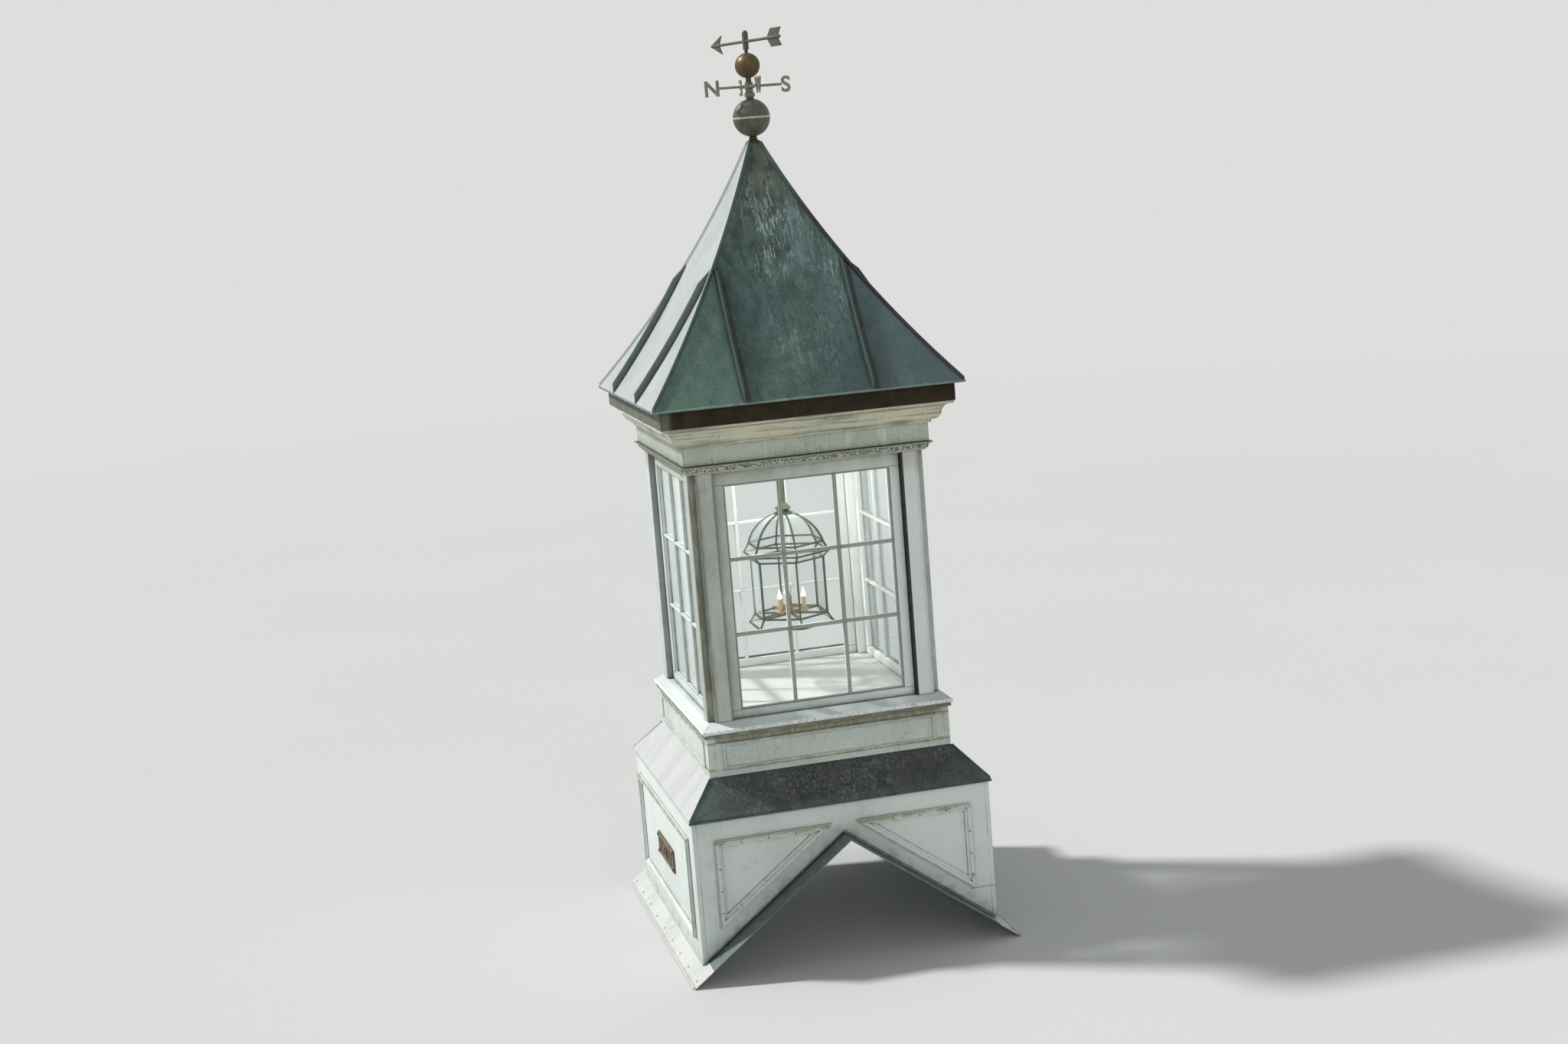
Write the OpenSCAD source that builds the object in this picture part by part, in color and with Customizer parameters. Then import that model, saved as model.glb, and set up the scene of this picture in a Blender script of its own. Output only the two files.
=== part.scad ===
// Square cupola for a garage roof, with a concave copper roof, glazed
// sides, a hanging lantern and a weathervane. Millimetres, +Z up, the
// origin on the level of the lowest edges, midway between them. The ridge
// that the base straddles runs along Y, and -Y is the front.

/* [Roof that it stands on] */
// Rise of the garage roof in 12 of run
pitch_rise = 9; // [7:0.5:11]

/* [Flashing] */
// Reach of the side aprons beyond the base, measured level
flash_side = 60; // [40:1:120]
// Reach of the front and back strips beyond the base
flash_end = 100; // [60:1:160]
// Thickness of the flashing with its bedding
flash_t = 3; // [2:0.5:6]

/* [Base box] */
// Width of the base box, the same both ways
base_w = 1220; // [1160:5:1400]
// Height of a side wall from its foot to its top
base_h = 582; // [540:1:700]
// Thickness of the base walls
wall_t = 22; // [18:1:40]
// Height of the shadow gap under the sloping edges
gap_h = 14; // [6:1:18]
// Depth of the shadow gap
gap_d = 10; // [6:1:14]
// Thickness of the board that closes the base at its top
base_top_t = 18; // [12:1:30]

/* [Panel mouldings on the base] */
// Width of the stiles beside the panels
stile_w = 83; // [60:1:120]
// Height of the rail above the panels
rail_w = 78; // [50:1:120]
// Height of the rail along the sloping foot of the front panels
foot_rail = 83; // [60:1:120]
// Height of the rail under the side panels
side_rail = 95; // [60:1:140]
// Width of the panel moulding
mould_w = 28; // [20:1:40]
// How far the moulding stands proud
mould_proud = 16; // [8:1:20]

/* [Vent plate] */
// Length of the vent plate on the side panel
vent_w = 320; // [200:5:400]
// Height of the vent plate
vent_h = 95; // [60:1:140]
// Thickness of the vent plate
vent_t = 8; // [5:1:14]
// Height of the middle of the vent plate above the foot of the wall
vent_z = 296; // [260:1:330]

/* [Skirt roof] */
// Overhang of the skirt roof beyond the base
skirt_over = 8; // [5:1:40]
// Height of the drip edge of the skirt roof
skirt_edge = 14; // [8:1:25]
// Rise of the skirt roof from its drip edge to the dado
skirt_rise = 129; // [100:1:180]

/* [Dado] */
// Width of the dado band
dado_w = 996; // [960:2:1040]
// Height of the dado that shows above the skirt roof
dado_h = 159; // [130:1:220]
// Thickness of the dado walls
dado_t = 22; // [18:1:40]
// Margin beside the long panel of the dado
dado_stile = 58; // [40:1:100]
// Margin above and below the long panel
dado_rail = 24; // [15:1:40]
// Width of the small moulding round the long panel
bead_w = 14; // [8:1:20]

/* [Sill] */
// Reach of the sill nose beyond the dado
sill_over = 17; // [10:1:30]
// Reach of the lower step beyond the dado
step_over = 10; // [5:1:14]
// Height of the lower step of the sill
sill_step = 13; // [8:1:20]
// Height of the nose above the lower step
nose_h = 20; // [12:1:30]
// Rise of the weathered slope behind the nose
sill_slope = 20; // [12:1:30]

/* [Lantern room] */
// Width of a corner post, the same both ways
post_w = 97; // [85:1:110]
// Size of the notch down the outer corner of a post
notch = 26; // [15:1:32]
// Width of the glass in a window
glass_w = 676; // [600:2:720]
// Height of the glass in a window
glass_h = 900; // [800:5:1000]
// Width of the sash stiles
sash_stile = 40; // [30:1:60]
// Height of the bottom rail of the sash
sash_foot = 33; // [25:1:60]
// Height of the top rail of the sash
sash_head = 53; // [35:1:80]
// Thickness of the sash
sash_t = 40; // [30:1:50]
// Setback of the sash from the face of the posts
sash_back = 25; // [15:1:30]
// Gap between the sash and the posts
sash_gap = 2; // [1:0.5:4]
// Thickness of the glass
glass_t = 5; // [4:0.5:8]
// Thickness of the inner floor
deck_t = 20; // [15:1:30]

/* [Cornice] */
// Height of the head boards from the sash to the fascia
head_h = 198; // [180:1:230]
// Height of the bed moulding above the sash
bed_z = 3; // [0:1:10]
// Height of the bed moulding
bed_h = 34; // [24:1:45]
// Projection of the bed moulding from the head boards
bed_proud = 30; // [24:1:36]
// Thickness of the frieze board
frieze_t = 19; // [14:1:22]
// Height of the crown moulding
crown_h = 86; // [70:1:110]
// Projection of the crown moulding from the frieze
crown_out = 86; // [70:1:100]
// Thickness of the ceiling
ceiling_t = 15; // [10:1:25]
// Height of the ceiling above the sash
ceiling_z = 14; // [5:1:40]

/* [Main roof] */
// Reach of the copper fascia beyond the crown
fascia_over = 5; // [2:1:15]
// Height of the copper fascia
fascia_h = 70; // [50:1:90]
// Thickness of the fascia with its board
fascia_t = 22; // [18:1:40]
// Overhang of the eave beyond the fascia
eave_over = 32; // [20:1:60]
// Height of the eave edge
eave_edge = 8; // [6:1:20]
// Height of the roof from its eave edge to its tip
roof_h = 977; // [900:1:1100]
// Hollow of the concave roof faces, measured from a straight slope
roof_sag = 40; // [20:1:50]
// Thickness of the roof with its boards
roof_t = 20; // [14:1:30]
// Half width of the flat tip that carries the neck
tip_half = 18; // [16:1:26]
// Distance of the standing seams from the middle of a face
batten_at = 255; // [200:1:300]
// Width of a seam
batten_w = 13; // [8:1:30]
// Height of a seam
batten_h = 26; // [12:1:34]
// Width of the folded seam on a hip
hip_w = 12; // [8:1:30]
// Height of the folded seam on a hip
hip_h = 9; // [6:1:24]

/* [Finial] */
// Height of the neck on the tip of the roof
neck_h = 21; // [17:1:40]
// Radius of the neck
neck_r = 17; // [14:1:22]
// Radius of the foot of the neck
neck_foot_r = 26; // [24:1:34]
// Radius of the large ball
ball_r = 75; // [60:1:90]
// Radius of the flats on which the balls are seated
seat_r = 12; // [10:1:16]
// Radius of the rod
rod_r = 7; // [6:0.5:9]
// Height of the hub of the compass arms
hub_h = 66; // [50:1:80]
// Radius of the hub
hub_r = 21; // [16:1:28]
// Reach of the compass arms from the axis
arm_reach = 134; // [110:1:160]
// Radius of the compass arms
arm_r = 5; // [4:0.5:7]
// Height of the collar between the hub and the small ball
rod_show = 17; // [10:1:40]
// Radius of the small ball
small_r = 50; // [40:1:60]

/* [Weathervane arrow] */
// Height of the arrow above the top of the small ball
arrow_rise = 46; // [40:1:70]
// Length of the arrow from the axis to its point
arrow_front = 260; // [200:1:300]
// Length of the arrow from the axis to its tail
arrow_back = 255; // [180:1:280]
// Direction of the arrow, turned from the left side towards the front
arrow_turn = -70; // [-180:5:180]
// Radius of the arrow shaft
shaft_r = 6; // [5:0.5:8]
// Length of the arrow head
head_l = 85; // [60:1:110]
// Height of the arrow head
head_w = 74; // [50:1:100]
// Length of the tail plate
tail_l = 100; // [70:1:130]
// Height of the tail plate
tail_w = 72; // [50:1:100]
// Thickness of the head and tail plates
plate_t = 5; // [4:0.5:8]
// Outer radius of the sleeve that turns on the rod
sleeve_r = 12; // [11:0.5:15]
// Length of the sleeve, with the arrow at its middle
sleeve_h = 64; // [50:1:80]
// Running gap between the sleeve and the rod
sleeve_gap = 0.1; // [0.05:0.05:0.5]

/* [Hanging lantern] */
// Radius of the six-sided body of the lantern over its corners
lamp_r = 156; // [130:1:175]
// Flare of the two glass bands beyond the body, over the corners
lamp_flare = 26; // [12:1:40]
// Height of the lower edge of the lantern above the deck
lamp_z = 262; // [200:1:330]
// Height of a flared glass band
band_h = 39; // [28:1:50]
// Height between the two bands
lamp_body_h = 236; // [200:1:280]
// Height of the glass that closes the upper band underneath
lamp_soffit_h = 26; // [16:1:36]
// Height of the glass dome
dome_h = 118; // [90:1:140]
// Bulge of the dome, measured from a straight slope
dome_bulge = 20; // [8:1:30]
// Reach of the dome at its top
dome_top = 32; // [24:1:36]
// Thickness of the lantern glass
lamp_glass_t = 3; // [2:0.5:4]
// Width of the metal strips that hold the glass
came_w = 7; // [5:0.5:10]
// Height of the turned knob over the dome
knob_h = 46; // [36:1:60]
// Radius of the knob
knob_r = 40; // [38:1:48]
// Radius of the stem
stem_r = 13; // [10:1:16]
// Radius of the ceiling plate over the stem
rose_r = 60; // [45:1:80]
// Distance of the candles from the axis
candle_at = 58; // [40:1:70]
// Height of a candle sleeve
candle_h = 62; // [40:1:90]

/* [Hidden] */
$fn = 64;

// Clearances: between mitred ends, and round a piece that is not seated
mitre_gap = 0.2;
seat_gap = 0.2;

// Colours as they show from the ground
white_paint = [0.80, 0.83, 0.80];
cream_paint = [0.72, 0.69, 0.58];
dark_copper = [0.24, 0.26, 0.25];
green_copper = [0.30, 0.38, 0.35];
brown_copper = [0.30, 0.24, 0.18];
grey_metal = [0.55, 0.60, 0.60];
brass = [0.45, 0.36, 0.20];
pane = [0.75, 0.85, 0.88, 0.35];

// Plan sizes, as half widths
base_half = base_w / 2;
base_in = base_half - wall_t;
flash_half = base_half + flash_side;
flash_y = base_half + flash_end;
skirt_half = base_half + skirt_over;
dado_half = dado_w / 2;
nose_half = dado_half + sill_over;
step_half = dado_half + step_over;
sash_half = glass_w / 2 + sash_stile;
opening_half = sash_half + sash_gap;
room_half = opening_half + post_w;
room_in = room_half - sash_back - sash_t;
frieze_half = room_half + frieze_t;
bed_half = room_half + bed_proud;
crown_half = frieze_half + crown_out;
fascia_half = crown_half + fascia_over;
eave_half = fascia_half + eave_over;

// The ridge, and the heights from the ground up
slope = pitch_rise / 12;
tilt = atan(slope);
flash_v = flash_t / cos(tilt);
ridge_z = flash_half * slope + flash_v;
foot_z = ridge_z - base_half * slope;
base_top_z = foot_z + base_h;
skirt_z = base_top_z + skirt_edge;
dado_foot_z = skirt_z + skirt_rise;
sill_z = dado_foot_z + dado_h;
nose_z = sill_z + sill_step;
nose_top_z = nose_z + nose_h;
floor_z = nose_top_z + sill_slope;
glass_z = floor_z + sash_foot;
head_z = glass_z + glass_h + sash_head;
bed_foot_z = head_z + bed_z;
frieze_z = bed_foot_z + bed_h;
fascia_z = head_z + head_h;
crown_z = fascia_z - crown_h;
soffit_z = fascia_z + fascia_h;
eave_z = soffit_z + eave_edge;
tip_z = eave_z + roof_h;
ceiling_foot_z = head_z + ceiling_z;

// The concave roof line is an arc from the eave edge to the tip
chord = norm([eave_half - tip_half, roof_h]);
arc_r = chord * chord / (8 * roof_sag) + roof_sag / 2;
arc_back = arc_r - roof_sag;
arc_x = (eave_half + tip_half) / 2 + arc_back * roof_h / chord;
arc_z = (eave_z + tip_z) / 2 + arc_back * (eave_half - tip_half) / chord;

// The finial, from the tip up
ball_flat = sqrt(ball_r * ball_r - seat_r * seat_r);
small_flat = sqrt(small_r * small_r - seat_r * seat_r);
ball_z = tip_z + neck_h + ball_flat;
hub_z = ball_z + ball_flat;
small_z = hub_z + hub_h + rod_show + small_flat;
arrow_z = small_z + small_flat + arrow_rise;
sleeve_foot_z = arrow_z - sleeve_h / 2;
rod_top_z = arrow_z + sleeve_h / 2 - 8;

// The hanging lantern, from its lower edge up, with the reach of its six sides
lamp_foot_z = floor_z + lamp_z;
lamp_body_z = lamp_foot_z + band_h;
lamp_eave_z = lamp_body_z + lamp_body_h;
upper_band_z = lamp_eave_z + lamp_soffit_h;
dome_z = upper_band_z + band_h;
knob_z = dome_z + dome_h;
stem_z = knob_z + knob_h;
lamp_side = lamp_r * cos(30);
flare_side = (lamp_r + lamp_flare) * cos(30);

// A moulding that runs along the front, from a profile of reach and height
module run(length) {
    rotate([90, 0, -90]) linear_extrude(length, center = true) children();
}

// The quarter of the plan behind the front, between the two mitres
module quarter(gap = mitre_gap) {
    far = 2 * flash_y;
    linear_extrude(2 * tip_z) polygon([[0, -gap], [far, -far - gap], [-far, -far - gap]]);
}

// One mitred side: 0 is the front, 90 the right, 180 the back, 270 the left
module mitred_side(turn, half) {
    rotate([0, 0, turn]) intersection() {
        run(2 * half) children();
        quarter();
    }
}

// Four mitred sides that go right round
module mitred_ring(half) {
    for (turn = [0 : 90 : 270]) mitred_side(turn, half) children();
}

// Four boards, two of full width and two that fit between them
module box_walls(half, t, z, h) {
    for (side = [-1, 1]) {
        translate([-half, side * (half - t / 2) - t / 2, z]) cube([2 * half, t, h]);
        translate([side * (half - t / 2) - t / 2, t - half, z]) cube([t, 2 * (half - t), h]);
    }
}

// A panel moulding: mitred sticks along an outline that runs anticlockwise,
// each with the same profile of reach from the outline and height
module stick(a, b, in_a, in_b, proud) {
    along = (b - a) / norm(b - a);
    trim = along * mitre_gap;
    intersection() {
        linear_extrude(proud) polygon([a + trim, b - trim, in_b - trim, in_a + trim]);
        translate([a.x, a.y, 0]) rotate([90, 0, 90 + atan2(along.y, along.x)])
            linear_extrude(norm(b - a)) children();
    }
}

module moulded_panel(outer, inner, proud) {
    last = len(outer) - 1;
    for (i = [0 : last]) {
        j = i == last ? 0 : i + 1;
        stick(outer[i], outer[j], inner[i], inner[j], proud) children();
    }
}

function panel_outline(w, h, d) =
    [[d - w / 2, d - h / 2], [w / 2 - d, d - h / 2], [w / 2 - d, h / 2 - d], [d - w / 2, h / 2 - d]];

// A face that is hollow above and round below, from its foot to its top
module cyma(foot, top) {
    middle = (foot + top) / 2;
    part = norm(top - foot) / 2;
    r = 0.75 * part;
    out = [top.y - foot.y, foot.x - top.x] / norm(top - foot);
    back = sqrt(r * r - part * part / 4);
    difference() {
        union() {
            polygon([foot, top, [foot.x, top.y]]);
            intersection() {
                translate((foot + middle) / 2 - out * back) circle(r = r);
                translate(foot) square(top - foot);
            }
        }
        translate((middle + top) / 2 + out * back) circle(r = r);
    }
}

// Flashing: sheets that lie on the two slopes of the garage roof
module slope_sheet(x_in, x_out, y_0, y_1) {
    translate([0, y_1, 0]) rotate([90, 0, 0]) linear_extrude(y_1 - y_0)
        polygon([[x_in, ridge_z - x_in * slope - flash_v], [x_out, ridge_z - x_out * slope - flash_v],
                 [x_out, ridge_z - x_out * slope], [x_in, ridge_z - x_in * slope]]);
}

module end_sheets() {
    for (half = [0, 1]) mirror([half, 0, 0]) slope_sheet(mitre_gap, base_in, -flash_y, -base_in);
}

module side_sheet() {
    slope_sheet(base_in + mitre_gap, flash_half, -flash_y, flash_y);
}

module flashing_front() {
    color(grey_metal) end_sheets();
}

module flashing_back() {
    color(grey_metal) rotate([0, 0, 180]) end_sheets();
}

module flashing_left() {
    color(white_paint) rotate([0, 0, 180]) side_sheet();
}

module flashing_right() {
    color(white_paint) side_sheet();
}

// Base walls: the front and back are cut to the ridge, with a shadow gap
module gable_outline(lift) {
    polygon([[-base_half, foot_z + lift], [0, ridge_z + lift], [base_half, foot_z + lift],
             [base_half, base_top_z], [-base_half, base_top_z]]);
}

module end_wall() {
    translate([0, -base_in, 0]) rotate([90, 0, 0]) linear_extrude(wall_t - gap_d) gable_outline(0);
    translate([0, gap_d - base_half, 0]) rotate([90, 0, 0]) linear_extrude(gap_d) gable_outline(gap_h);
}

module side_wall() {
    length = 2 * (base_in - seat_gap);
    translate([0, length / 2, 0]) rotate([90, 0, 0]) linear_extrude(length)
        polygon([[base_in, ridge_z - base_in * slope], [base_half, foot_z],
                 [base_half, base_top_z], [base_in, base_top_z]]);
}

module base_front_wall() {
    color(white_paint) end_wall();
}

module base_back_wall() {
    color(white_paint) rotate([0, 0, 180]) end_wall();
}

module base_left_wall() {
    color(white_paint) rotate([0, 0, 180]) side_wall();
}

module base_right_wall() {
    color(white_paint) side_wall();
}

module base_top() {
    color(white_paint) translate([-base_in, -base_in, base_top_z - base_top_t])
        cube([2 * base_in, 2 * base_in, base_top_t]);
}

// Panel mouldings: two triangles on the front, a rectangle on the side
panel_half = base_half - stile_w;
panel_top_z = base_top_z - rail_w;

function gable_panel(d) =
    let (lean = d / cos(tilt), top = panel_top_z - d, side = panel_half - d,
         near = (ridge_z + foot_rail + lean - top) / slope,
         low = ridge_z + foot_rail + lean - side * slope)
    [[near, top], [side, low], [side, top]];

// Flat on top, with a rabbet outside and a cove inside
module panel_mould() {
    difference() {
        square([mould_w, mould_proud]);
        translate([0, mould_proud]) square(mould_proud / 2, center = true);
        translate([mould_w, mould_proud]) circle(r = 0.7 * mould_proud);
    }
}

module base_mouldings() {
    side_foot = foot_z + side_rail;
    w = 2 * panel_half;
    h = panel_top_z - side_foot;
    color(white_paint) for (turn = [0, 180]) rotate([0, 0, turn]) {
        translate([0, -base_half, 0]) rotate([90, 0, 0]) for (half = [0, 1]) mirror([half, 0, 0])
            moulded_panel(gable_panel(0), gable_panel(mould_w), mould_proud) panel_mould();
        rotate([0, 0, 90]) translate([0, -base_half, side_foot + h / 2]) rotate([90, 0, 0])
            moulded_panel(panel_outline(w, h, 0), panel_outline(w, h, mould_w), mould_proud) panel_mould();
    }
}

// Vent plate: a thin cast plate with slots, on the left side panel
module vent_plate() {
    slots = 9;
    pitch = (vent_w - 30) / slots;
    color(brown_copper) translate([-base_half, 0, foot_z + vent_z]) rotate([90, 0, -90])
        linear_extrude(vent_t) difference() {
            square([vent_w, vent_h], center = true);
            for (i = [0 : slots - 1])
                translate([(i - (slots - 1) / 2) * pitch, 0])
                    square([pitch / 2, vent_h - 30], center = true);
        }
}

// Skirt roof: copper on boards that lean from the base walls to the dado
module skirt_roof() {
    steep = skirt_rise / (skirt_half - dado_half);
    color(dark_copper) mitred_ring(skirt_half)
        polygon([[base_in, base_top_z], [skirt_half, base_top_z], [skirt_half, skirt_z],
                 [dado_half, dado_foot_z], [dado_half, base_top_z + (base_in - dado_half) * steep]]);
}

module dado_walls() {
    color(white_paint) box_walls(dado_half, dado_t, base_top_z, sill_z - base_top_z);
}

module dado_mouldings() {
    w = 2 * (dado_half - dado_stile);
    h = dado_h - 2 * dado_rail;
    color(white_paint) for (turn = [0 : 90 : 270]) rotate([0, 0, turn])
        translate([0, -dado_half, dado_foot_z + dado_h / 2]) rotate([90, 0, 0])
            moulded_panel(panel_outline(w, h, 0), panel_outline(w, h, bead_w), bead_w)
                intersection() {
                    translate([bead_w / 2, 0]) circle(r = bead_w / 2);
                    square(bead_w);
                }
}

// Sill: a lower step, a rounded nose and a weathered top
module sill() {
    round_r = nose_h / 2;
    color(white_paint) mitred_ring(nose_half) union() {
        polygon([[opening_half, sill_z], [step_half, sill_z], [step_half, nose_z],
                 [nose_half - round_r, nose_z], [nose_half - round_r, nose_top_z],
                 [room_half, floor_z], [opening_half, floor_z]]);
        translate([nose_half - round_r, nose_z + round_r]) circle(r = round_r);
    }
}

module deck() {
    color(white_paint) translate([-opening_half, -opening_half, floor_z - deck_t])
        cube([2 * opening_half, 2 * opening_half, deck_t]);
}

// Lantern room: four notched posts, and a sash with its glass in each side
module corner_posts() {
    color(white_paint) for (turn = [0 : 90 : 270]) rotate([0, 0, turn])
        translate([opening_half, opening_half, floor_z]) linear_extrude(fascia_z - floor_z) difference() {
            square(post_w);
            translate([post_w - notch, post_w - notch]) square(notch + 1);
        }
}

module sash() {
    translate([0, -room_in, floor_z]) rotate([90, 0, 0]) linear_extrude(sash_t) difference() {
        translate([-sash_half, 0]) square([2 * sash_half, head_z - floor_z]);
        translate([-glass_w / 2, sash_foot]) square([glass_w, glass_h]);
    }
}

module sash_front() {
    color(white_paint) sash();
}

module sash_right() {
    color(white_paint) rotate([0, 0, 90]) sash();
}

module sash_back() {
    color(white_paint) rotate([0, 0, 180]) sash();
}

module sash_left() {
    color(white_paint) rotate([0, 0, 270]) sash();
}

module window_glass() {
    w = glass_w - 2 * seat_gap;
    color(pane) for (turn = [0 : 90 : 270]) rotate([0, 0, turn])
        translate([-w / 2, -room_in - (sash_t + glass_t) / 2, glass_z + seat_gap])
            cube([w, glass_t, glass_h - 2 * seat_gap]);
}

// Cornice: head boards between the posts, then the mouldings over them
module head_boards() {
    color(white_paint) for (turn = [0 : 90 : 270]) rotate([0, 0, turn])
        translate([-opening_half, -room_half, head_z])
            cube([2 * opening_half, room_half - room_in, head_h]);
}

module bed_moulding() {
    fillet = bed_h / 6;
    color(cream_paint) mitred_ring(bed_half) {
        translate([room_half, bed_foot_z]) square([fillet, bed_h]);
        translate([room_half, frieze_z - fillet]) square([bed_proud, fillet]);
        cyma([room_half + fillet, bed_foot_z + fillet], [bed_half - fillet / 2, frieze_z - fillet]);
    }
}

module frieze() {
    color(white_paint) mitred_ring(frieze_half)
        polygon([[room_half, frieze_z], [frieze_half, frieze_z], [frieze_half, fascia_z],
                 [room_half, fascia_z]]);
}

module crown_moulding() {
    fillet = crown_h / 8;
    color(cream_paint) mitred_ring(crown_half) {
        translate([frieze_half, crown_z]) square([fillet, crown_h]);
        translate([frieze_half, fascia_z - fillet]) square([crown_out, fillet]);
        cyma([frieze_half + fillet, crown_z + fillet], [crown_half - fillet / 2, fascia_z - fillet]);
    }
}

module ceiling() {
    corner = room_in - opening_half + seat_gap;
    color(white_paint) translate([0, 0, ceiling_foot_z]) linear_extrude(ceiling_t) difference() {
        square(2 * room_in, center = true);
        for (x = [-1, 1], y = [-1, 1])
            translate([x * room_in, y * room_in]) square(2 * corner, center = true);
    }
}

module fascia() {
    color(brown_copper) mitred_ring(fascia_half)
        polygon([[fascia_half - fascia_t, fascia_z], [fascia_half, fascia_z],
                 [fascia_half, soffit_z], [fascia_half - fascia_t, soffit_z]]);
}

// Main roof: the half profile under the arc, raised or lowered by d
module under_arc(d, half) {
    difference() {
        translate([0, soffit_z]) square([half, tip_z + d - soffit_z]);
        translate([arc_x, arc_z]) circle(r = arc_r - d, $fn = 512);
    }
}

module roof_face(turn) {
    mitred_side(turn, eave_half) difference() {
        under_arc(0, eave_half);
        under_arc(-roof_t, fascia_half - fascia_t);
    }
}

module roof_front() {
    color(green_copper) roof_face(0);
}

module roof_right() {
    color(green_copper) roof_face(90);
}

module roof_back() {
    color(green_copper) roof_face(180);
}

module roof_left() {
    color(green_copper) roof_face(270);
}

// The solid under the concave roof, raised by d, as two of its faces bound it
module raised_run(d) {
    run(2 * eave_half) {
        under_arc(d, eave_half);
        mirror([1, 0]) under_arc(d, eave_half);
    }
}

// Standing seams, dressed down where they meet the hip
function roof_z(reach) = arc_z - sqrt(arc_r * arc_r - (arc_x - reach) * (arc_x - reach));

module batten_seams() {
    lay_slope = 0.9;
    top = batten_at + batten_w / 2 + hip_w / sqrt(2) + 1;
    top_z = roof_z(top) + hip_h;
    color(brown_copper) for (turn = [0 : 90 : 270], side = [-1, 1]) rotate([0, 0, turn])
        translate([side * batten_at, 0, 0]) run(batten_w) difference() {
            intersection() {
                under_arc(batten_h, eave_half);
                polygon([[top, soffit_z], [eave_half, soffit_z],
                         [eave_half, top_z - (eave_half - top) * lay_slope], [top, top_z]]);
            }
            under_arc(seat_gap, eave_half);
        }
}

module raised_roof(d) {
    intersection() {
        raised_run(d);
        rotate([0, 0, 90]) raised_run(d);
    }
}

module hip_caps() {
    color(dark_copper) difference() {
        intersection() {
            raised_roof(hip_h);
            for (turn = [45, 135]) rotate([0, 0, turn])
                translate([-2 * eave_half, -hip_w / 2, eave_z]) cube([4 * eave_half, hip_w, roof_h]);
        }
        raised_roof(seat_gap);
        cylinder(r = 2 * tip_half - 6, h = 2 * tip_z);
    }
}

// Finial: neck, large ball, rod with its collar, compass arms, small ball
module finial_neck() {
    color(brown_copper) translate([0, 0, tip_z]) rotate_extrude()
        polygon([[0, 0], [neck_foot_r, 0], [neck_foot_r, 4], [neck_r - 2, 9], [neck_r, 12],
                 [neck_r, neck_h - 4], [seat_r, neck_h], [0, neck_h]]);
}

module seated_ball(r, z) {
    flat = sqrt(r * r - seat_r * seat_r);
    translate([0, 0, z]) intersection() {
        sphere(r = r);
        cylinder(r = r + 1, h = 2 * flat, center = true);
    }
}

module large_ball() {
    seam = 2.5;
    color(dark_copper) {
        seated_ball(ball_r, ball_z);
        translate([0, 0, ball_z - seam]) cylinder(r = ball_r + 1.5, h = 2 * seam);
    }
}

module vane_rod() {
    color(brass) translate([0, 0, hub_z]) {
        cylinder(r = rod_r, h = rod_top_z - hub_z);
        translate([0, 0, hub_h]) cylinder(r = seat_r - 1, h = rod_show);
    }
}

module compass_arms() {
    ring_h = 16;
    arm_z = 0.75 * hub_h;
    color(brass) translate([0, 0, hub_z]) difference() {
        union() {
            cylinder(r = 0.75 * hub_r, h = hub_h);
            for (z = [ring_h, arm_z]) translate([0, 0, z]) cylinder(r = hub_r, h = ring_h, center = true);
            for (turn = [0, 90]) rotate([0, 90, turn])
                translate([-arm_z, 0, -arm_reach]) cylinder(r = arm_r, h = 2 * arm_reach);
        }
        translate([0, 0, -1]) cylinder(r = rod_r + seat_gap, h = hub_h + 2);
    }
}

module small_ball() {
    color(brass) difference() {
        seated_ball(small_r, small_z);
        translate([0, 0, small_z - small_r]) cylinder(r = rod_r + seat_gap, h = 2 * small_r);
    }
}

// Arrow: shaft, head, tail and the closed sleeve that turns on the rod
module vane_arrow() {
    tail_edge = arrow_back - 0.7 * tail_l;
    color(dark_copper) rotate([0, 0, arrow_turn]) difference() {
        translate([0, 0, arrow_z]) {
            cylinder(r = sleeve_r, h = sleeve_h, center = true);
            translate([0, 0, sleeve_h / 2]) sphere(r = sleeve_r);
            rotate([0, 90, 0]) translate([0, 0, 10 - arrow_front])
                cylinder(r = shaft_r, h = arrow_front + arrow_back - 20);
            rotate([90, 0, 0]) linear_extrude(plate_t, center = true) {
                polygon([[-arrow_front, 0], [head_l - arrow_front, head_w / 2],
                         [0.75 * head_l - arrow_front, 0], [head_l - arrow_front, -head_w / 2]]);
                polygon([[arrow_back - tail_l, 0], [tail_edge, tail_w / 2], [arrow_back, tail_w / 2],
                         [arrow_back - 0.25 * tail_l, 0], [arrow_back, -tail_w / 2],
                         [tail_edge, -tail_w / 2]]);
            }
        }
        translate([0, 0, sleeve_foot_z - 1])
            cylinder(r = rod_r + sleeve_gap, h = rod_top_z + sleeve_gap - sleeve_foot_z + 1);
    }
}

// Hanging lantern: glass in metal strips, with a corner towards the front.
// One side is an outline of reach and height, grown by d each way.
module dome_arc(d) {
    foot = [flare_side - band_h / 2, dome_z];
    top = [dome_top, knob_z];
    chord = norm(top - foot);
    r = chord * chord / (8 * dome_bulge) + dome_bulge / 2;
    out = [top.y - foot.y, foot.x - top.x] / chord;
    intersection() {
        translate((foot + top) / 2 - out * (r - dome_bulge)) difference() {
            circle(r = r + lamp_glass_t + d);
            circle(r = r - d);
        }
        translate(top - [0, dome_h]) square([flare_side, dome_h]);
    }
}

module lean(foot, top, d) {
    polygon([foot - [d, 0], foot + [lamp_glass_t + d, 0], top + [lamp_glass_t + d, 0], top - [d, 0]]);
}

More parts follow.
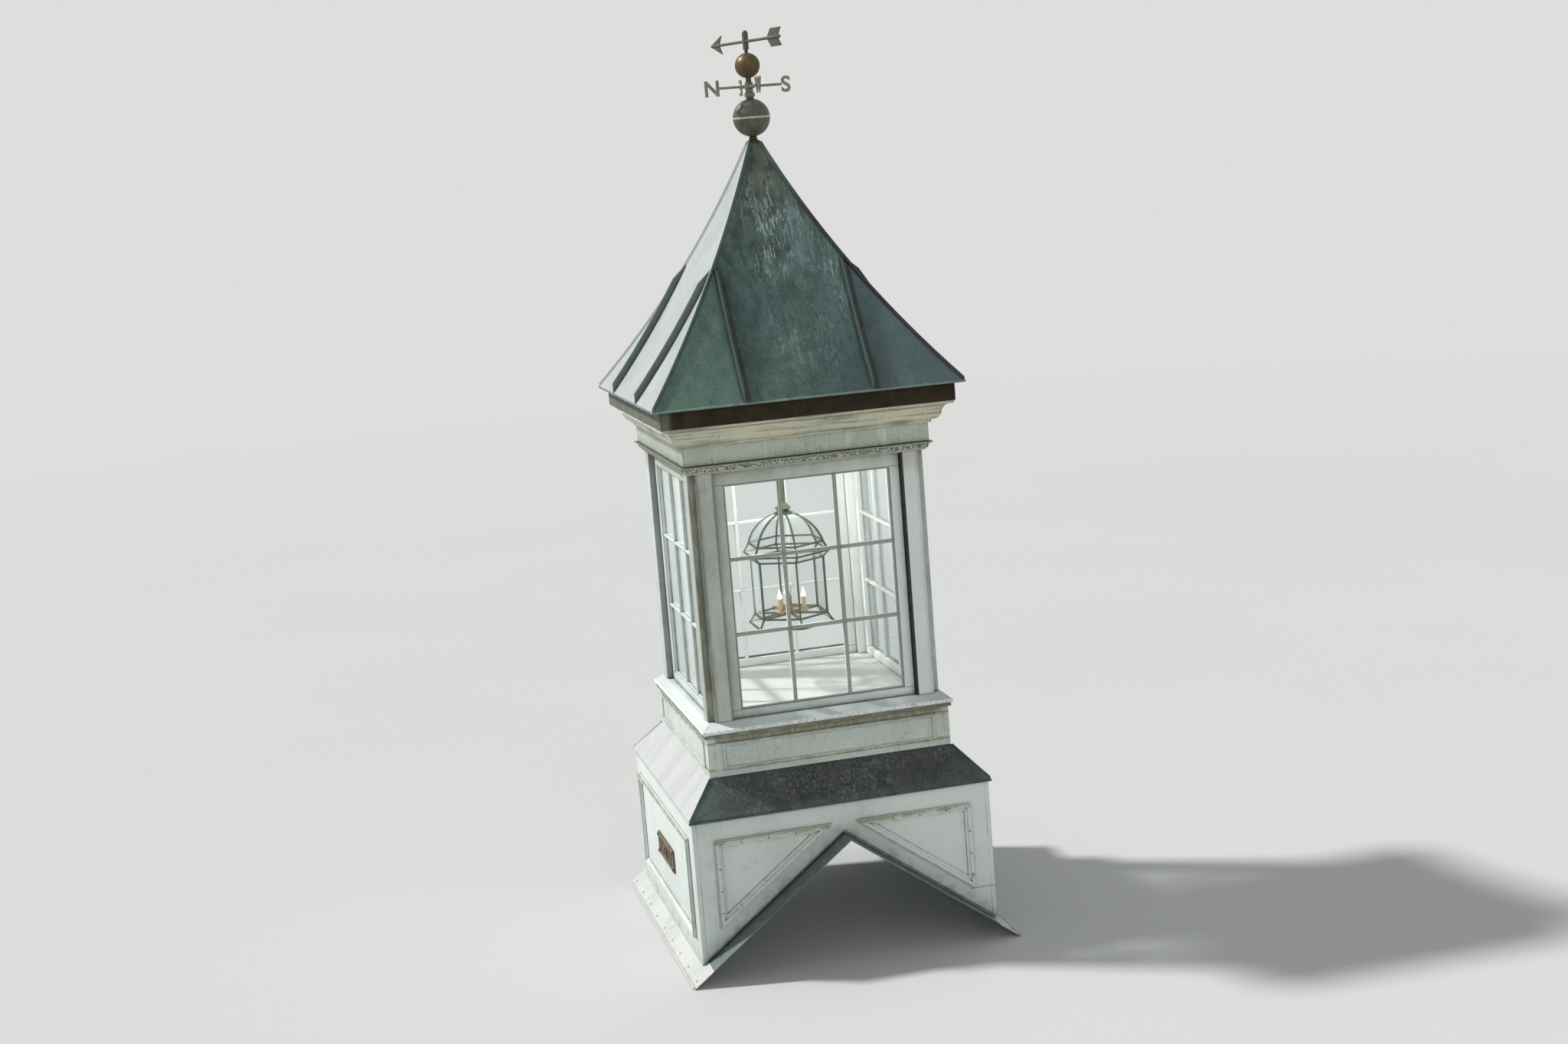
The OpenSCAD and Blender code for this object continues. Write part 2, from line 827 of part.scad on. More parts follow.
module lamp_section(d) {
    dome_side = flare_side - band_h / 2;
    dome_arc(d);
    lean([flare_side, upper_band_z], [dome_side, dome_z], d);
    lean([lamp_side, lamp_eave_z], [flare_side, upper_band_z], d);
    lean([lamp_side, lamp_body_z], [lamp_side, lamp_eave_z], d);
    lean([flare_side, lamp_foot_z], [lamp_side, lamp_body_z], d);
}

// The strips that run round the lantern where the glass changes its slope
module round_strips(d) {
    for (p = [[flare_side, lamp_foot_z + came_w / 2], [lamp_side, lamp_body_z], [lamp_side, lamp_eave_z],
              [flare_side, upper_band_z], [flare_side - band_h / 2, dome_z]])
        translate(p + [lamp_glass_t / 2, 0]) square([came_w + 2 * d, came_w + 2 * d], center = true);
}

// A sixth of the plan towards the front, inset from the corners of the lantern
module sixth(inset) {
    far = 2 * lamp_r;
    half = (far - 2 * inset) * tan(30);
    linear_extrude(2 * tip_z) polygon([[0, -2 * inset], [half, -far], [-half, -far]]);
}

module lamp_run() {
    run(2 * (lamp_r + lamp_flare)) children();
}

module lantern_stem() {
    color(dark_copper) {
        translate([0, 0, stem_z]) cylinder(r = stem_r, h = ceiling_foot_z - stem_z);
        translate([0, 0, ceiling_foot_z - 12]) cylinder(r = rose_r, h = 12);
    }
}

module lantern_frame() {
    strip_over = 1.5;
    color(dark_copper) {
        for (turn = [30 : 60 : 330]) rotate([0, 0, turn]) {
            intersection() {
                lamp_run() lamp_section(strip_over);
                difference() {
                    sixth(0);
                    sixth(came_w / 2);
                }
            }
            intersection() {
                lamp_run() round_strips(0);
                sixth(0);
            }
        }
        for (turn = [30 : 60 : 150]) rotate([0, 0, turn])
            translate([-lamp_r, -came_w, lamp_body_z - came_w / 2]) cube([2 * lamp_r, 2 * came_w, came_w]);
        translate([0, 0, knob_z]) rotate_extrude() polygon([
            [0, 0], [knob_r, 0], [knob_r, knob_h / 9], [0.6 * knob_r, knob_h / 4], [0.6 * knob_r, knob_h / 3],
            [0.85 * knob_r, knob_h / 2], [0.6 * knob_r, 0.75 * knob_h], [stem_r, knob_h], [0, knob_h]]);
    }
}

module lantern_glass() {
    color(pane) for (turn = [30 : 60 : 330]) rotate([0, 0, turn]) intersection() {
        lamp_run() difference() {
            lamp_section(0);
            round_strips(seat_gap);
        }
        sixth(came_w / 2 + seat_gap);
    }
}

// Three candle sleeves in cups on the bars at the foot of the body
module lantern_candles() {
    sleeve = 9;
    color(brass) for (turn = [90 : 120 : 330]) rotate([0, 0, turn])
        translate([candle_at, 0, lamp_body_z + came_w / 2]) {
            cylinder(r1 = sleeve, r2 = 2.2 * sleeve, h = 1.2 * sleeve);
            cylinder(r = sleeve, h = candle_h);
            translate([0, 0, candle_h]) cylinder(r1 = 0.6 * sleeve, r2 = 1.3 * sleeve, h = sleeve);
            translate([0, 0, candle_h + sleeve]) cylinder(r1 = 1.3 * sleeve, r2 = 1, h = 4 * sleeve);
        }
}

flashing_front();
flashing_back();
flashing_left();
flashing_right();
base_front_wall();
base_back_wall();
base_left_wall();
base_right_wall();
base_top();
base_mouldings();
vent_plate();
skirt_roof();
dado_walls();
dado_mouldings();
sill();
deck();
corner_posts();
sash_front();
sash_back();
sash_left();
sash_right();
window_glass();
head_boards();
bed_moulding();
frieze();
crown_moulding();
ceiling();
fascia();
roof_front();
roof_back();
roof_left();
roof_right();
batten_seams();
hip_caps();
finial_neck();
large_ball();
vane_rod();
compass_arms();
small_ball();
vane_arrow();
lantern_stem();
lantern_frame();
lantern_glass();
lantern_candles();
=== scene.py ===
import math

import bmesh
import bpy
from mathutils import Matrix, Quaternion, Vector


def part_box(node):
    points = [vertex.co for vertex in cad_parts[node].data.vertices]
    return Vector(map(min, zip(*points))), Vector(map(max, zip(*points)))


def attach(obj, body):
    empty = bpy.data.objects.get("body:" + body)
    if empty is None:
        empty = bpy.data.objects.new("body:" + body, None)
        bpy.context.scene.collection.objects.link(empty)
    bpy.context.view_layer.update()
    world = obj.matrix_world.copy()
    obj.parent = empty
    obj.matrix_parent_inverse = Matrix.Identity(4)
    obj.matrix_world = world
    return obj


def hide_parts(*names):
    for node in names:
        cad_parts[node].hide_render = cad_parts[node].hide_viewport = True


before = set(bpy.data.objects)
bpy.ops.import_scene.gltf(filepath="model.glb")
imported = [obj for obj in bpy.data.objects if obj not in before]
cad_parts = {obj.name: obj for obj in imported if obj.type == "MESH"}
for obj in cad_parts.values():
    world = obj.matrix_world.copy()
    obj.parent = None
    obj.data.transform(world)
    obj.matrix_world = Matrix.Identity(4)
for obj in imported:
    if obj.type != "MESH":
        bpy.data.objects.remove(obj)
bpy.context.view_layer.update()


# The camera stands where the picture was taken from, in front of the left corner and about as
# high as the tip of the roof, and looks at the middle of the cupola. It keeps the lean that the
# cupola has near the side of that picture.
camera_place = Vector((-2.073, -8.816, 3.168))
camera_aim = Vector((0, 0, 1.67))
camera_lean = Quaternion((0, 0, 1), math.radians(-4.6))
bpy.ops.object.camera_add(location=camera_place)
camera = bpy.context.object
camera.rotation_euler = ((camera_aim - camera_place).to_track_quat("-Z", "Y") @ camera_lean).to_euler()
camera.data.lens = 51
bpy.context.scene.camera = camera
bpy.context.scene.view_settings.view_transform = "Standard"
bpy.context.scene.cycles.transparent_max_bounces = 24


# Floor, soft light and pale surroundings, like a plain studio with one broad lamp high on the
# left, a soft one in front and a weak one in the room. The floor fades into the surroundings,
# which mirrors and glass see as pale as the eye does.
class Coat:
    """A value or colour in a finish. Arithmetic on a value adds Math nodes to its finish."""

    def __init__(self, tree, socket=None):
        self.tree = tree
        self.socket = socket

    def node(self, kind, inputs=None, output=0, **settings):
        """A node of this kind, with its settings, and a value or a link for each named socket."""
        made = self.tree.nodes.new(kind)
        for name, value in settings.items():
            setattr(made, name, value)
        for name, value in (inputs or {}).items():
            if isinstance(value, Coat):
                self.tree.links.new(value.socket, made.inputs[name])
            else:
                made.inputs[name].default_value = value
        return Coat(self.tree, made.outputs[output]) if made.outputs else None

    def maths(self, operation, first, second):
        return self.node("ShaderNodeMath", {0: first, 1: second}, operation=operation)

    def __add__(self, other):
        return self.maths("ADD", self, other)

    __radd__ = __add__

    def __sub__(self, other):
        return self.maths("SUBTRACT", self, other)

    def __rsub__(self, other):
        return self.maths("SUBTRACT", other, self)

    def __mul__(self, other):
        return self.maths("MULTIPLY", self, other)

    __rmul__ = __mul__

    def __abs__(self):
        return self.maths("ABSOLUTE", self, 0)

    def most(self, other):
        return self.maths("MAXIMUM", self, other)

    def least(self, other):
        return self.maths("MINIMUM", self, other)

    def ramp(self, start, end):
        """0 at start and 1 at end, smooth between them. The end may be the lower one."""
        values = {"Value": self, "From Min": start, "From Max": end}
        return self.node("ShaderNodeMapRange", values, interpolation_type="SMOOTHSTEP")

    def mix(self, amount, first, second):
        """The first colour with the second over it, by an amount from 0 to 1."""
        return self.node("ShaderNodeMix", {0: amount, 6: first, 7: second}, 2, data_type="RGBA")

    def place(self):
        """Place on the piece, as three values in metres."""
        point = self.node("ShaderNodeTexCoord", output="Object")
        split = self.node("ShaderNodeSeparateXYZ", {0: point})
        outputs = split.socket.node.outputs
        return [Coat(self.tree, outputs[axis]) for axis in range(3)]

    def noise(self, size, stretch=(1, 1, 1), detail=4, shift=0):
        """Cloudy value round 0.5, with spots of about that size in metres."""
        point = self.node("ShaderNodeTexCoord", output="Object")
        point = self.node("ShaderNodeMapping", {"Vector": point, "Location": (shift,) * 3, "Scale": stretch})
        return self.node("ShaderNodeTexNoise", {"Vector": point, "Scale": 1 / size, "Detail": detail})

    def cracks(self, size, stretch=(1, 1, 1)):
        """Distance to the nearest crack, as a share of the size of the scales between cracks."""
        point = self.node("ShaderNodeTexCoord", output="Object")
        point = self.node("ShaderNodeMapping", {"Vector": point, "Scale": stretch})
        return self.node("ShaderNodeTexVoronoi", {"Vector": point, "Scale": 1 / size},
                         feature="DISTANCE_TO_EDGE")

    def open_air(self, reach, inside=False):
        """1 on an open face, and less where other faces stand within that reach. Seen from the
        inside of a piece, it is less along the piece's own sharp edges."""
        return self.node("ShaderNodeAmbientOcclusion", {"Distance": reach}, "AO", samples=6, inside=inside)


def srgb(red, green, blue):
    """A colour as it looks on a screen, 0 to 255, as the light values that a finish takes."""
    shares = [value / 255 for value in (red, green, blue)]
    return (*[s / 12.92 if s <= 0.04045 else ((s + 0.055) / 1.055) ** 2.4 for s in shares], 1)


def new_finish(name):
    """An empty material, and the coat that its nodes are added to."""
    material = bpy.data.materials.new(name)
    material.use_nodes = True
    material.node_tree.nodes.clear()
    return material, Coat(material.node_tree)


def surface(coat, colour, roughness, height, depth, **constants):
    """The shader and the output of a finish. The height is a value from 0 to 1, depth is in metres."""
    bump = coat.node("ShaderNodeBump", {"Height": height, "Distance": depth})
    inputs = {"Base Color": colour, "Roughness": roughness, "Normal": bump, **constants}
    shader = coat.node("ShaderNodeBsdfPrincipled", inputs)
    coat.node("ShaderNodeOutputMaterial", {0: shader})


pale = srgb(222, 222, 220)
floor_size = 60
fade_from_squared = 60
fade_to_squared = 500
bpy.ops.mesh.primitive_circle_add(vertices=96, radius=floor_size / 2, fill_type="NGON")
floor = bpy.context.object
floor.name = "studio_floor"
material, coat = new_finish("pale_floor")
x, y, z = coat.place()
far = (x * x + y * y).ramp(fade_from_squared, fade_to_squared)
cloud = coat.noise(2.5, detail=2)
shader = coat.node("ShaderNodeBsdfPrincipled", {
    "Base Color": coat.mix(cloud * 0.3, srgb(200, 200, 198), srgb(208, 208, 206)),
    "Roughness": 0.85, "Specular IOR Level": 0.1})
clear = coat.node("ShaderNodeBsdfTransparent")
coat.node("ShaderNodeOutputMaterial", {0: coat.node("ShaderNodeMixShader", {0: far, 1: shader, 2: clear})})
floor.data.materials.append(material)

world = bpy.data.worlds.new("studio")
bpy.context.scene.world = world
world.use_nodes = True
world.node_tree.nodes.clear()
coat = Coat(world.node_tree)
seen = coat.node("ShaderNodeLightPath", output="Is Camera Ray")
paths = seen.socket.node.outputs
for kind in ("Is Glossy Ray", "Is Transmission Ray"):
    seen = seen.most(Coat(world.node_tree, paths[kind]))
sky = coat.node("ShaderNodeBackground", {0: (0.95, 1, 1, 1), 1: 0.44})
backdrop = coat.node("ShaderNodeBackground", {0: pale, 1: 1})
coat.node("ShaderNodeOutputWorld", {0: coat.node("ShaderNodeMixShader", {0: seen, 1: sky, 2: backdrop})})

bpy.ops.object.light_add(type="SUN", location=(-6, 4, 8))
lamp = bpy.context.object
lamp.rotation_euler = Vector((-0.62, 0.33, 0.71)).to_track_quat("Z", "Y").to_euler()
lamp.data.energy = 3.4
lamp.data.angle = math.radians(5)
bpy.ops.object.light_add(type="AREA", location=(1, -9, 4))
fill = bpy.context.object
fill.rotation_euler = (fill.location - camera_aim).to_track_quat("Z", "Y").to_euler()
fill.data.size = 6
fill.data.energy = 70
bpy.ops.object.light_add(type="POINT", location=(0, 0, 1.8))
glow = bpy.context.object
glow.data.energy = 6
glow.data.shadow_soft_size = 0.2
glow.visible_glossy = False


# Flashing: sheets on the two slopes of the garage roof, under the foot of the box. The end
# strips are bare metal gone grey-green. The side aprons are painted white with the box, and
# their outer edge is folded under.
def dress(material, *nodes):
    """Gives the solids that are named this finish."""
    for name in nodes:
        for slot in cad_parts[name].material_slots:
            slot.material = material


def old_paint(name, fresh, grime, specks, runs, stains=(), corners=0.75, chips=0.5, clean=None):
    """Brushed house paint that has stood outside: clouds of grime, mildew specks, runs, fine
    cracks, dirt and painted shade in the corners and creases, and chips along the edges. Each
    stain is a colour and a function of the coat and place that says where, and so is what stays
    clean in its corners."""
    material, coat = new_finish(name)
    x, y, z = coat.place()
    cloud = coat.noise(0.22).ramp(0.35, 0.7)
    mottle = coat.noise(0.03, detail=6, shift=4).ramp(0.3, 0.75)
    colour = coat.mix(cloud * grime + mottle * grime * 0.5, fresh, srgb(150, 160, 154))
    run = coat.noise(0.012, (1, 1, 0.05), shift=2).ramp(0.58, 0.7)
    run = run * coat.noise(0.3, shift=9).ramp(0.4, 0.65)
    colour = coat.mix(run * runs, colour, srgb(122, 122, 106))
    speck = coat.noise(0.006, detail=2, shift=7).ramp(0.63, 0.69)
    speck = speck * coat.noise(0.12, shift=5).ramp(0.44, 0.66)
    colour = coat.mix(speck * specks, colour, srgb(66, 68, 60))
    for stain, where in stains:
        colour = coat.mix(where(coat, x, y, z), colour, stain)
    crack = coat.cracks(0.011, (1, 1, 0.3)).ramp(0.05, 0)
    crack = crack * coat.noise(0.07, detail=5, shift=12).ramp(0.56, 0.72)
    colour = coat.mix(crack * 0.35, colour, srgb(92, 94, 84))
    edge = coat.open_air(0.006, inside=True).ramp(0.86, 0.6)
    chip = edge * coat.noise(0.02, detail=6, shift=3).ramp(0.5, 0.62)
    # Dirt and painted shade where other faces stand close: in the corners, and as a dark line in the creases.
    corner = coat.open_air(0.03).ramp(0.8, 0.3) * (0.3 + 0.5 * coat.noise(0.05, shift=6).ramp(0.35, 0.6))
    crevice_dirt_and_shade = coat.open_air(0.007).ramp(0.75, 0.45)
    crevice_dirt_and_shade = crevice_dirt_and_shade * (0.6 + 0.4 * coat.noise(0.06, shift=8).ramp(0.3, 0.55))
    if clean:
        worn = 1 - 0.8 * clean(coat, x, y, z)
        chip, corner, crevice_dirt_and_shade = chip * worn, corner * worn, crevice_dirt_and_shade * worn
    colour = coat.mix(chip * chips, colour, srgb(126, 122, 108))
    # The corners amount sets the dirt and painted shade in the corners and creases.
    colour = coat.mix(corner * corners, colour, srgb(92, 94, 82))
    colour = coat.mix(crevice_dirt_and_shade * corners, colour, srgb(48, 50, 44))
    brush = coat.noise(0.004, (1, 1, 0.08), detail=3)
    surface(coat, colour, 0.5 + 0.25 * mottle, brush * 0.4 + mottle * 0.4 - crack - chip * 0.6, 0.0008)
    return material


def select_only(*pieces):
    """Selects these pieces and nothing else, and makes the first of them the active one."""
    bpy.ops.object.select_all(action="DESELECT")
    for piece in pieces:
        piece.select_set(True)
    if pieces:
        bpy.context.view_layer.objects.active = pieces[0]


def start_piece(name):
    """The primitive that was just added, with its size and place put into its mesh."""
    piece = bpy.context.object
    piece.name = name
    bpy.ops.object.transform_apply(location=True, rotation=True, scale=True)
    return piece


def pick(piece, kind, where):
    """In edit mode, selects the verts, edges or faces of a piece that pass the test."""
    bpy.ops.mesh.select_mode(type=kind.upper())
    bpy.ops.mesh.select_all(action="DESELECT")
    mesh = bmesh.from_edit_mesh(piece.data)
    for part in {"vert": mesh.verts, "edge": mesh.edges, "face": mesh.faces}[kind]:
        if where(part):
            part.select_set(True)
    bmesh.update_edit_mesh(piece.data)


def bar(name, low, high, ease):
    """A bar between two opposite corners, with its four long edges rounded by so much."""
    low, high = Vector(low), Vector(high)
    size = high - low
    longest = max(range(3), key=lambda axis: size[axis])
    select_only()
    bpy.ops.mesh.primitive_cube_add(size=1, location=(low + high) / 2, scale=size)
    piece = start_piece(name)
    bpy.ops.object.mode_set(mode="EDIT")
    pick(piece, "edge", lambda edge: abs((edge.verts[0].co - edge.verts[1].co)[longest]) > size[longest] / 2)
    bpy.ops.mesh.bevel(offset=ease, segments=3, affect="EDGES")
    bpy.ops.object.mode_set(mode="OBJECT")
    return piece


def settle(piece, material):
    """Gives a finished piece its finish, and lets it ride with the cupola itself."""
    select_only(piece)
    bpy.ops.object.shade_smooth_by_angle(angle=math.radians(40))
    piece.data.materials.clear()
    piece.data.materials.append(material)
    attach(piece, "body")


def old_sheet(name, bare, patina, streak, across, amount=0.5, dark=srgb(30, 30, 27), metal=0.35, stains=(),
              gloss=0.4, wear=1, **constants):
    """Copper or lead sheet that has stood outside: patina in clouds, pale streaks down the
    slope, specks and dents. Across is the stretch that runs with the eave of that slope."""
    material, coat = new_finish(name)
    x, y, z = coat.place()
    cloud = coat.noise(0.28, detail=5).ramp(0.36, 0.66)
    colour = coat.mix(cloud * amount, bare, patina)
    colour = coat.mix(coat.noise(0.045, detail=6, shift=6).ramp(0.5, 0.8) * 0.45 * wear, colour, dark)
    fine = coat.noise(0.012, (1, 1, 0.35), detail=4, shift=21).ramp(0.35, 0.7)
    colour = coat.mix(fine * 0.22 * wear, colour, dark)
    for stain, where in stains:
        colour = coat.mix(where(coat, x, y, z), colour, stain)
    down = coat.noise(0.03, (*across, 0.06), detail=5, shift=3).ramp(0.5, 0.75)
    drift = coat.noise(0.35, shift=8).ramp(0.42, 0.7)
    colour = coat.mix(down * drift * 0.4, colour, streak)
    speck = coat.noise(0.009, detail=2, shift=1).ramp(0.66, 0.72) * coat.noise(0.2, shift=2).ramp(0.45, 0.6)
    colour = coat.mix(speck * 0.45 * wear, colour, streak)
    # Painted shade: darker where other faces stand close, in the corners.
    corner = coat.open_air(0.03).ramp(0.85, 0.35)
    colour = coat.mix(corner * 0.7, colour, dark)
    dent = coat.noise(0.3, detail=1, shift=14)
    pit = coat.noise(0.006, detail=3)
    surface(coat, colour, gloss + 0.3 * coat.noise(0.06, detail=5).ramp(0.3, 0.7),
            dent * 0.9 + pit * 0.02, 0.01 * wear, Metallic=metal, **constants)
    return material


apron_paint = old_paint("apron_paint", srgb(199, 199, 196), 0.25, 0.5, 0.2, chips=0)
strip_metal = old_sheet("strip_metal", srgb(112, 126, 124), srgb(90, 106, 102), srgb(164, 176, 170), (1, 0))
dress(apron_paint, "flashing_left", "flashing_right")
dress(strip_metal, "flashing_front", "flashing_back")
hem_w = 0.01
hem_foot, hem_top = 0.001, 0.009
hem_short = 0.01
for side, sign in (("left", -1), ("right", 1)):
    low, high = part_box("flashing_" + side)
    outer = sign * max(abs(low.x), abs(high.x))
    hem = bar("apron_hem_" + side, (outer - hem_w / 2, low.y + hem_short, hem_foot),
              (outer + hem_w / 2, high.y - hem_short, hem_top), 0.0035)
    settle(hem, apron_paint)


# Base box: white painted boards on a frame, cut at the foot to the slopes of the roof. The
# panels are formed by small mouldings that are nailed on, mitred at their corners. The sharp
# edges of the boards are eased with a plane before they are painted.
def ease_boards(material, nodes, by=0.002):
    """Copies of wooden solids with their sharp edges rounded, which stand for those solids."""
    for node in nodes:
        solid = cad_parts[node]
        piece = bpy.data.objects.new(node + "_eased", solid.data.copy())
        bpy.context.collection.objects.link(piece)
        select_only(piece)
        bpy.ops.object.mode_set(mode="EDIT")
        bpy.ops.mesh.select_all(action="SELECT")
        bpy.ops.mesh.remove_doubles(threshold=0.00001)
        bpy.ops.mesh.dissolve_limited(angle_limit=math.radians(1))
        bpy.ops.object.mode_set(mode="OBJECT")
        bevel = piece.modifiers.new("eased edges", "BEVEL")
        bevel.width = by
        bevel.segments = 2
        bevel.angle_limit = math.radians(30)
        bpy.ops.object.modifier_apply(modifier=bevel.name)
        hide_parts(node)
        settle(piece, material)


wall_low, wall_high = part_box("base_front_wall")
base_half = wall_high.x
roof_pitch = 9 / 12
ridge_z = wall_low.z + roof_pitch * base_half
mould_low, mould_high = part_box("base_mouldings")
upper_bead_z = mould_high.z - 0.0087
splice_z = 0.196
corner_board_t = 0.018


def foot_shade(coat, x, y, z):
    """Dirt that rain splashes on the lowest hand of the walls."""
    above = z - (ridge_z - roof_pitch * abs(x))
    return above.ramp(0.09, 0.0) * (0.1 + 0.45 * coat.noise(0.05, detail=5).ramp(0.4, 0.7))


def in_front(coat, x, y, z):
    """The whole front side."""
    return (abs(x) * -1 - y).ramp(-0.002, 0.002)


def painted_light_right_end(coat, x, y, z):
    """Painted light: the paint is lighter toward the right end of the front."""
    return in_front(coat, x, y, z) * x.ramp(-0.1, 0.5) * 0.7


def board_joints(coat, x, y, z):
    """Fine open joints: the splice in the right rail, and the corner boards."""
    splice = abs(z - splice_z).ramp(0.0016, 0.0006) * x.ramp(0.5, 0.51)
    from_joint = abs(abs(x).least(abs(y)) - (base_half - corner_board_t))
    corner_board = from_joint.ramp(0.0014, 0.0005) * coat.noise(0.2).ramp(0.35, 0.6)
    return (splice + corner_board * 0.7).least(1)


def upper_beads(coat, x, y, z):
    """Olive lichen on the upper bead of the panels."""
    on_bead = abs(z - upper_bead_z).ramp(0.008, 0.004)
    return on_bead * (0.25 + 0.5 * coat.noise(0.05, shift=19).ramp(0.4, 0.6))


base_paint = old_paint("base_paint", srgb(211, 218, 214), 0.17, 0.6, 0.2, [
    (srgb(228, 235, 232), painted_light_right_end),
    (srgb(124, 126, 112), foot_shade),
    (srgb(58, 60, 54), board_joints)])
bead_paint = old_paint("bead_paint", srgb(208, 214, 209), 0.2, 0.8, 0.2, [
    (srgb(226, 232, 229), painted_light_right_end),
    (srgb(150, 148, 104), upper_beads)])
ease_boards(base_paint, [f"base_{side}_wall" for side in ("front", "back", "left", "right")])
dress(base_paint, "base_top")
dress(bead_paint, "base_mouldings")


# Nails: galvanised heads, grey and a little rusty, along the front panels' mouldings, and
# painted ones along the aprons. Each is a domed disc.
def place_piece(piece, place=(0, 0, 0), turn=(0, 0, 0)):
    """Turns a piece about the origin, moves it, and puts that into its mesh."""
    select_only(piece)
    piece.rotation_euler = turn
    piece.location = place
    bpy.ops.object.transform_apply(location=True, rotation=True, scale=True)
    return piece


def copy_of(piece, place=(0, 0, 0), turn=(0, 0, 0)):
    """One more of a piece, with a mesh of its own."""
    other = piece.copy()
    other.data = piece.data.copy()
    bpy.context.collection.objects.link(other)
    return place_piece(other, place, turn)


def join(name, pieces):
    """These pieces as one piece."""
    select_only(*pieces)
    bpy.ops.object.join()
    pieces[0].name = name
    return pieces[0]


def nail_heads(name, places, facing, width, material):
    """Domed heads at these places, all facing one way, as one piece."""
    select_only()
    bpy.ops.mesh.primitive_cylinder_add(vertices=10, radius=width / 2, depth=width / 3)
    first = start_piece(name)
    bpy.ops.object.mode_set(mode="EDIT")
    pick(first, "face", lambda face: face.normal.z > 0.9)
    bpy.ops.mesh.inset(thickness=width * 0.18)
    bpy.ops.transform.translate(value=(0, 0, width * 0.12))
    bpy.ops.object.mode_set(mode="OBJECT")
    turn = Vector(facing).to_track_quat("Z", "Y").to_euler()
    heads = [copy_of(first, place, turn) for place in places[1:]]
    place_piece(first, places[0], turn)
    settle(join(name, [first, *heads]), material)


nail_metal = old_sheet("nail_metal", srgb(118, 112, 100), srgb(96, 84, 68), srgb(160, 158, 150), (1, 1),
                       metal=0.6)
stile_w = 0.083
mould_w = 0.028
nail_face = mould_low.y - 0.001
top_row_z = mould_high.z - 0.01425
end_row_x = base_half - stile_w - mould_w / 2
panel_nails = [(sign * across, nail_face, top_row_z) for sign in (-1, 1) for across in (0.2, 0.31, 0.42, 0.5)]
panel_nails += [(sign * end_row_x, nail_face, height) for sign in (-1, 1) for height in (0.26, 0.35, 0.44)]
nail_heads("panel_nails_front", panel_nails, (0, -1, 0), 0.006, nail_metal)
apron_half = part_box("flashing_right")[1].x
apron_nail_in = 0.018
apron_nail_z = roof_pitch * apron_nail_in + 0.005
apron_nail_step = 0.165
for side, sign in (("left", -1), ("right", 1)):
    places = [(sign * (apron_half - apron_nail_in), apron_nail_step * (count - 4), apron_nail_z)
              for count in range(9)]
    nail_heads("apron_nails_" + side, places, (sign * 0.6, 0, 0.8), 0.01, apron_paint)


# Vent plate: a small cast plate with slots on the left side of the box, brown from age. Four
# round-headed screws hold it, and a flat ring stands round its middle.
def flat_ring(name, radius, thick, place=(0, 0, 0), turn=(0, 0, 0)):
    """A ring of flattened rod, lying level before it is turned."""
    select_only()
    bpy.ops.mesh.primitive_torus_add(major_radius=radius, minor_radius=thick / 2, major_segments=48,
                                     minor_segments=12)
    piece = start_piece(name)
    bpy.ops.object.mode_set(mode="EDIT")
    for side in (-1, 1):
        pick(piece, "vert", lambda vert: vert.co.z * side > thick * 0.2)
        bpy.ops.transform.resize(value=(1, 1, 0))
    bpy.ops.object.mode_set(mode="OBJECT")
    return place_piece(piece, place, turn)


vent_metal = old_sheet("vent_metal", srgb(132, 112, 92), srgb(104, 92, 78), srgb(190, 178, 156), (0, 1))
dress(vent_metal, "vent_plate")
vent_low, vent_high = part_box("vent_plate")
vent_face = vent_low.x - 0.001
screw_in = 0.012
screws = [(vent_face, side * (vent_high.y - screw_in), height) for side in (-1, 1)
          for height in (vent_low.z + screw_in, vent_high.z - screw_in)]
nail_heads("vent_screws", screws, (-1, 0, 0), 0.014, nail_metal)
vent_middle = (vent_face, 0, (vent_low.z + vent_high.z) / 2)
settle(flat_ring("vent_ring", 0.024, 0.007, vent_middle, (0, math.pi / 2, 0)), vent_metal)


# Skirt roof: copper sheet on boards that lean from the box to the dado, nearly black in front
# with green at both ends, and silvery on the left as a painted sheen of the sunlit side. Its
# edge is hemmed, and the sheets are folded together along the corners.
skirt_low, skirt_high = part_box("skirt_roof")
skirt_half = skirt_high.x
skirt_edge = 0.014
dado_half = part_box("dado_walls")[1].x


def on_left(coat, x, y, z):
    """The whole left side."""
    return (abs(y) * -1 - x).ramp(-0.002, 0.002)


def skirt_corner(coat, x, y, z):
    """Green at both ends of the front, and along the hem."""
    ends = x.ramp(-0.35, -0.6).most(x.ramp(0.45, 0.62) * 0.7) * y.ramp(-0.4, -0.5)
    hem = (z - skirt_low.z).ramp(0.037, 0.012) * 0.6
    return ends.most(hem) * (0.4 + 0.6 * coat.noise(0.05, detail=6, shift=17).ramp(0.35, 0.6))


def skirt_bloom(coat, x, y, z):
    """Grey bloom in fine flecks, in loose drifts, and less toward the top."""
    drift = 0.35 + 0.65 * coat.noise(0.14, detail=4, shift=25).ramp(0.38, 0.62)
    flecks = coat.noise(0.011, (1, 1, 0.6), detail=8, shift=23).ramp(0.4, 0.78)
    return flecks * drift * (z - skirt_high.z).ramp(0.016, -0.024) * 0.8


def skirt_left_painted_sheen(coat, x, y, z):
    """Painted sheen: silvery sheet on the left, in faint runs, as the sunlit side shows."""
    runs = coat.noise(0.05, (0, 1, 0.1), detail=5).ramp(0.3, 0.6)
    return on_left(coat, x, y, z) * (0.88 + 0.12 * runs)


